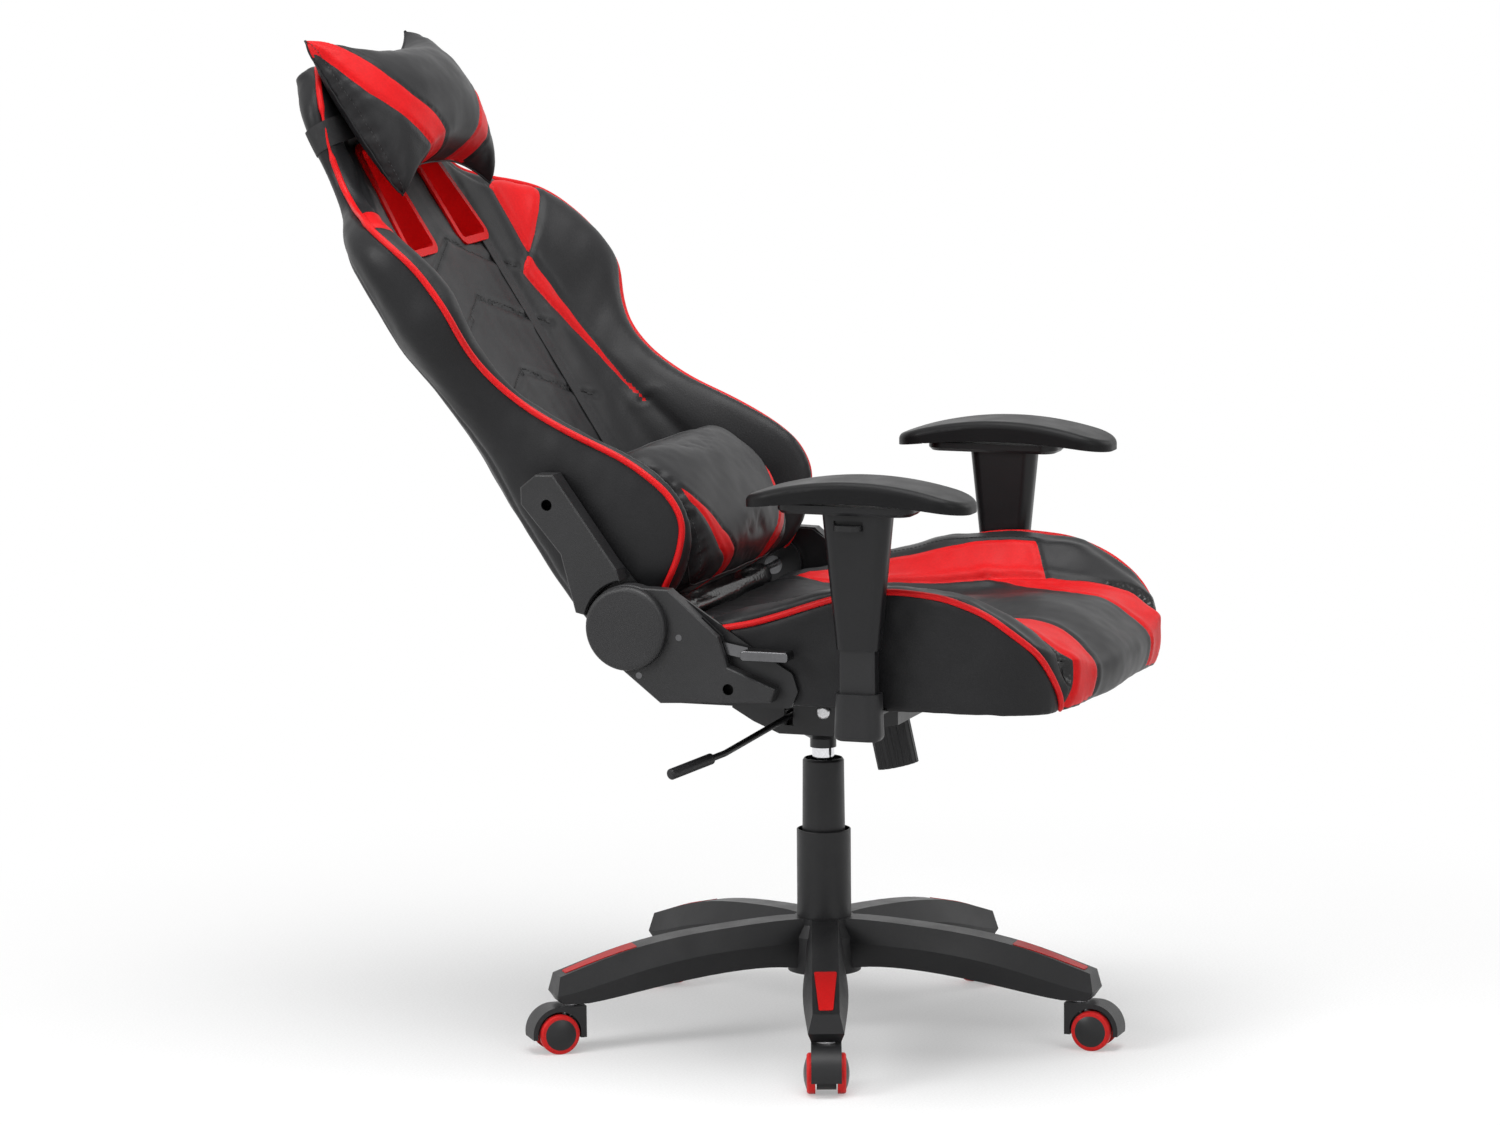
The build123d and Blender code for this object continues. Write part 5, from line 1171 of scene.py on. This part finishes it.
@dataclass
class Pillow:
    """A stuffed pillow with two red stripes.

    Args:
        name: Name of the piece.
        node: CAD node that it stands for.
        form: Its shape.
        columns: Mesh columns.
        rows: Mesh rows.
        cap: Furthest that the stuffing may move the leather.
        seed: Seed of the leather's undulation.
        gather: Height of the gathers beside the side seams.
        crease: Depth of the crease that runs out to each corner.
        welt: Radius of the edge seam's ridge.
    """

    name: str
    node: str
    form: PillowForm
    columns: int = 88
    rows: int = 64
    cap: float = 0.005
    seed: int = 31
    gather: float = 0.0010
    crease: float = 0.0018
    welt: float = 0.0013

    FRAMES = 14

    def sewn(self) -> bpy.types.Mesh:
        """Both panels as one closed mesh."""
        a = np.sin(np.linspace(-1.0, 1.0, self.columns + 1) * math.pi / 2)
        b = np.sin(np.linspace(-1.0, 1.0, self.rows + 1) * math.pi / 2)
        t, s = np.meshgrid(b, a, indexing="ij")
        rows, columns = s.shape
        front = LEAN.world(self.form.place(s.ravel(), t.ravel(), 1.0))
        rear = LEAN.world(self.form.place(s.ravel(), t.ravel(), -1.0))
        edge = np.zeros((rows, columns), bool)
        edge[[0, -1], :] = True
        edge[:, [0, -1]] = True
        inner = np.flatnonzero(~edge.ravel())
        behind = np.arange(rows * columns)
        behind[inner] = rows * columns + np.arange(len(inner))
        faces = []
        for r in range(rows - 1):
            for c in range(columns - 1):
                ring = [r * columns + c, r * columns + c + 1, (r + 1) * columns + c + 1,
                        (r + 1) * columns + c]
                faces += [ring, [int(behind[k]) for k in reversed(ring)]]
        data = bpy.data.meshes.new(self.name)
        data.from_pydata([tuple(p) for p in np.vstack([front, rear[inner]])], [], faces)
        data.update()
        return data

    def build(self) -> None:
        """Makes the pillow, its edge seam and its stitching."""
        data = self.sewn()
        self.stuff(data)
        skin = Skin(self.name, self.node, STEP, data)
        skin.cut(self.form.stripe)
        skin.paint(self.form.stripe, 1)
        self._undulate(skin)
        skin.groove(self.form.stripe, PILLOW_SEAM)
        self._welt(skin)
        skin.finish("backrest", [BLACK_LEATHER, RED_LEATHER], fill=0.8)

    def stuff(self, data: bpy.types.Mesh) -> None:
        """Fills the pillow with a short pressure simulation, with a cap on every move."""
        piece = placed(f"{self.name}_sim", data)
        scene = bpy.context.scene
        before = read_points(data)
        settings = piece.modifiers.new("stuffing", "CLOTH").settings
        settings.quality = 5
        settings.mass = 0.25
        settings.use_pressure = True
        settings.uniform_pressure_force = 3.0
        settings.tension_stiffness = 12.0
        settings.compression_stiffness = 12.0
        settings.bending_stiffness = 0.3
        settings.effector_weights.gravity = 0.0
        for frame in range(1, self.FRAMES + 1):
            scene.frame_set(frame)
        after = read_points(piece.evaluated_get(bpy.context.evaluated_depsgraph_get()).data)
        scene.frame_set(1)
        bpy.data.objects.remove(piece)
        shift = after - before
        length = np.linalg.norm(shift, axis=1)[:, None]
        shift *= np.minimum(1.0, self.cap / np.maximum(length, 1e-9))
        local, start = LEAN.local(before + shift), LEAN.local(before)
        local[:, 2] = np.maximum(local[:, 2], np.minimum(self.form.floor_v, start[:, 2]))
        write_points(data, LEAN.world(local))

    def _undulate(self, skin: Skin) -> None:
        """Lets the leather undulate, with short gathers beside the side seams."""
        places = skin.places()
        s, t = self.form.chart(places).T
        lift = soft_noise(places, 0.06, self.seed) * 0.0006
        lift += soft_noise(places, 0.022, self.seed + 1) * 0.00015
        near = bell(s, 1.0, 0.075) * np.clip(1.0 - t * t, 0.0, 1.0)
        folds = np.sin(t * 34.0 + 2.0 * soft_noise(places, 0.05, self.seed + 2))
        lift += self.gather * near * folds
        ears = bell(s, 1.0, 0.12) * bell(np.abs(t), 1.0, 0.16)
        crease = bell((1.0 - s) - 0.7 * (1.0 - np.abs(t)), 0.0, 0.03)
        skin.puff(lift - self.crease * ears * crease)

    def _welt(self, skin: Skin) -> None:
        """Adds the ridge of the edge seam and a row of stitches in front of it."""
        tree = skin.tree()
        turn = np.linspace(-1.0, 1.0, 90)
        a = np.sin(turn * math.pi / 2)
        one = np.ones_like(a)
        s = np.concatenate([a, one[1:], a[::-1][1:], -one[1:]])
        t = np.concatenate([-one, a[1:], one[1:], a[::-1][1:]])
        ring = rest_on(tree, LEAN.world(self.form.place(s, t, 1.0)), 0.0)
        make_piece(f"{self.name}_welt", ring_mesh([cord(ease(ring, 2), self.welt, 8)]),
                   "backrest", [BLACK_LEATHER])
        for side in (-1.0, 1.0):
            row = LEAN.world(self.form.place(0.985 * side * one, a * 0.985, 1.0))
            skin.threads.sew(tree, row)


def read_points(data: bpy.types.Mesh) -> Array:
    """Every point of a mesh."""
    flat = np.empty(len(data.vertices) * 3)
    data.vertices.foreach_get("co", flat)
    return flat.reshape(-1, 3)


def write_points(data: bpy.types.Mesh, points: Array) -> None:
    """Moves a mesh's points."""
    data.vertices.foreach_set("co", points.ravel())
    data.update()


HEAD_FORM = PillowForm(
    half_width=0.1576, middle=0.7208, half_height=0.1205, waist=0.0001, sag=0.0424,
    sag_power=2.667, corner_v=-0.0223, side_v=-0.0041, edge_v=0.0017, front=0.0773,
    rear=0.030, front_power=0.411, rear_power=1.0, droop=0.062, blunt=0.05, floor_v=-0.0355,
    taper=0.0085, roll=0.0405, reach=(1.05, 0.86),
    stripe_outer=((1.0, 1.02), (0.85, 0.99), (0.61, 0.974), (0.38, 0.95), (0.16, 0.915),
                  (-0.10, 0.84), (-0.44, 0.74), (-0.60, 0.68), (-0.69, 0.645), (-0.82, 0.59),
                  (-1.0, 0.50)),
    stripe_inner=((1.0, 0.88), (0.88, 0.82), (0.64, 0.765), (0.24, 0.69), (0.12, 0.655),
                  (-0.10, 0.60), (-0.40, 0.475), (-0.52, 0.43), (-0.66, 0.375), (-0.85, 0.29),
                  (-1.0, 0.17)),
)
LUMBAR_FORM = PillowForm(
    half_width=0.1540, middle=0.1014, half_height=0.0933, waist=0.0015, sag=0.0045,
    sag_power=3.0, corner_v=0.0434, side_v=0.0279, edge_v=0.0098, front=0.0593, rear=0.125,
    front_power=0.271, rear_power=0.25, droop=0.094, blunt=0.05, floor_v=-0.0575,
    stripe_outer=((1.0, 0.92), (0.24, 0.935), (0.0, 0.945), (-0.25, 0.895), (-0.40, 0.87),
                  (-0.55, 0.845), (-0.76, 0.79), (-0.89, 0.70), (-1.0, 0.62)),
    stripe_inner=((1.0, 1.10), (0.24, 0.945), (0.156, 0.918), (-0.05, 0.862), (-0.14, 0.83),
                  (-0.32, 0.765), (-0.55, 0.69), (-0.62, 0.64), (-0.76, 0.565), (-0.87, 0.475),
                  (-0.94, 0.43), (-1.0, 0.41)),
)


@dataclass
class RodSleeve:
    """Gathered leather sleeve round the recliner's cross rod, under the back cushion.

    Args:
        half_length: Reach of the sleeve on either side of the middle.
        radius: Mean radius.
        rod: Place and height of its middle, which hangs forward of and below the rod.
        folds: Height of the long folds.
        wrinkles: Height of the wrinkles between them.
        gathered: Share of the radius that is left at the ends.
    """

    half_length: float = 0.186
    radius: float = 0.0245
    rod: tuple[float, float] = (0.148, 0.546)
    folds: float = 0.0012
    wrinkles: float = 0.0004
    gathered: float = 0.35

    AROUND = 64
    ALONG = 120

    def build(self) -> None:
        """Makes the sleeve as a closed tube with long folds."""
        turns = np.linspace(0, 2 * math.pi, self.AROUND, endpoint=False)
        cos, sin = np.cos(turns), np.sin(turns)
        rings = []
        for x in np.linspace(-self.half_length, self.half_length, self.ALONG):
            places = np.stack([np.full(self.AROUND, x), 0.02 * cos, 0.02 * sin], 1)
            folds = soft_noise(places * np.array([0.07, 1.0, 1.0]), 0.014, 71)
            fine = soft_noise(places * np.array([0.3, 1.0, 1.0]), 0.02, 72)
            end = math.sqrt(max(0.0, 1.0 - (abs(x) / self.half_length) ** 12))
            wide = self.radius + self.folds * folds + self.wrinkles * fine
            wide *= self.gathered + (1.0 - self.gathered) * end
            rings.append(np.stack([places[:, 0], self.rod[0] + wide * cos,
                                   self.rod[1] + wide * sin], 1))
        # The darker leather is painted shade under the back cushion and in the sleeve's folds.
        sleeve = make_piece("rod_sleeve", ring_mesh([np.array(rings)]), "backrest",
                            [SHADED_CREASE_LEATHER])


# ---- hard parts ----
@dataclass
class HardParts:
    """Gives every CAD node that stays its finish.

    Args:
        nodes: CAD objects by name.
        record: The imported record.
    """

    nodes: dict[str, bpy.types.Object]
    record: dict

    def dress(self) -> None:
        """Replaces the CAD colours by finishes."""
        slots = {part["node"]: part["material_slot"] for part in self.record["subparts"]}
        for name, node in self.nodes.items():
            finish = NODE_FINISHES.get(name) or SLOT_FINISHES[slots[name]]
            node.data.materials.clear()
            node.data.materials.append(finish.material())
        log.info("dressed %d CAD nodes", len(self.nodes))


# ---- studio ----
@dataclass(frozen=True)
class SoftBox:
    """One square soft light.

    Args:
        name: Name of the light.
        place: Where it stands.
        size: Its side.
        power: Its power in watts.
    """

    name: str
    place: tuple[float, float, float]
    size: float
    power: float
    target: tuple[float, float, float] = (0.0, 0.0, 0.65)

    def build(self) -> None:
        """Hangs the light and turns it to the chair."""
        light = bpy.data.lights.new(self.name, "AREA")
        light.shape = "SQUARE"
        light.size = self.size
        light.energy = self.power
        lamp = placed(self.name, light)
        lamp.location = self.place
        way = Vector(self.target) - Vector(self.place)
        lamp.rotation_euler = way.to_track_quat("-Z", "Y").to_euler()


@dataclass
class Studio:
    """White background, pale floor, soft lights and the camera."""

    camera_place: tuple[float, float, float] = (-8.1091, -2.7747, 1.8873)
    camera_right: tuple[float, float, float] = (0.33256, -0.94305, -0.00769)
    camera_up: tuple[float, float, float] = (0.14287, 0.04232, 0.98884)
    lens: float = 166.6
    sensor: float = 36.0
    floor_half: float = 30.0
    floor_near: float = 0.5
    floor_far: float = 1.6
    floor_light: float = 0.35
    ambient: float = 0.23
    boxes: tuple[SoftBox, ...] = (
        SoftBox("overhead", (-0.6, -0.2, 4.2), 3.0, 150.0),
        SoftBox("side_left", (-3.4, 2.6, 2.6), 1.8, 84.0),
        SoftBox("side_front", (-2.6, -3.6, 2.4), 1.8, 26.0),
        SoftBox("far_front", (3.0, -3.2, 2.6), 2.0, 32.0),
    )

    def build(self) -> None:
        """Makes everything round the chair."""
        self._background()
        self._floor()
        self._camera()
        for box in self.boxes:
            box.build()
        bpy.context.scene.view_settings.view_transform = "Standard"

    def _background(self) -> None:
        """White where the camera or a reflection sees it, softer as a light."""
        world = bpy.data.worlds.new("studio")
        world.use_nodes = True
        bpy.context.scene.world = world
        world.node_tree.nodes.clear()
        nodes = Nodes(world.node_tree)
        level = nodes.add("MapRange", Value=self._seen(nodes), To_Min=self.ambient, To_Max=1.0)
        shine = nodes.add("Background", Color=(1.0, 1.0, 1.0, 1.0),
                          Strength=level.outputs["Result"])
        nodes.add("OutputWorld", Surface=shine.outputs[0])

    def _seen(self, nodes: Nodes) -> Socket:
        """1 where the camera, a reflection or a view through glass looks, 0 for light."""
        rays = nodes.add("LightPath").outputs
        seen = nodes.math("MAXIMUM", rays["Is Camera Ray"], rays["Is Glossy Ray"])
        return nodes.math("MAXIMUM", seen, rays["Is Transmission Ray"])

    def _fade(self, made: bpy.types.Material) -> None:
        """Lets the floor run out into the white background away from the chair."""
        nodes = Nodes(made.node_tree)
        place = nodes.add("NewGeometry").outputs["Position"]
        reach = nodes.add("VectorMath", place, operation="LENGTH").outputs["Value"]
        share = nodes.add("MapRange", Value=reach, From_Min=self.floor_near,
                          From_Max=self.floor_far, To_Min=self.floor_light,
                          interpolation_type="SMOOTHSTEP").outputs["Result"]
        shader, out = (made.node_tree.nodes[name] for name in ("Principled BSDF",
                                                                "Material Output"))
        mix = nodes.add("MixShader", nodes.math("MULTIPLY", share, self._seen(nodes)),
                        shader.outputs[0], nodes.add("Emission").outputs[0])
        nodes.feed(out.inputs["Surface"], mix.outputs[0])

    def _floor(self) -> None:
        """Pale floor that takes the chair's shadow."""
        data = bpy.data.meshes.new("floor")
        half = self.floor_half
        data.from_pydata([(-half, -half, 0), (half, -half, 0), (half, half, 0), (-half, half, 0)],
                         [], [(0, 1, 2, 3)])
        data.materials.append(FLOOR.material())
        self._fade(FLOOR.material())
        placed("floor", data)

    def _camera(self) -> None:
        """Camera a long way off with a long lens."""
        data = bpy.data.cameras.new("camera")
        data.lens = self.lens
        data.sensor_width = self.sensor
        camera = placed("camera", data)
        right, up = Vector(self.camera_right), Vector(self.camera_up)
        turn = Matrix((right, up, right.cross(up))).transposed().to_4x4()
        camera.matrix_world = Matrix.Translation(self.camera_place) @ turn
        bpy.context.scene.camera = camera


def main() -> None:
    """Dresses the chair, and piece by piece."""
    logging.basicConfig(level=logging.INFO, format="%(name)s: %(message)s")
    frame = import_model()
    Studio().build()
    HardParts(frame["nodes"], frame["record"]).dress()
    Seat().build()
    Back().build()
    Pillow("head_pillow_cover", "head_pillow", HEAD_FORM).build()
    Pillow("lumbar_pillow_cover", "lumbar_pillow", LUMBAR_FORM, seed=47, gather=0.0016).build()
    RodSleeve().build()


if __name__ == "__main__":
    main()
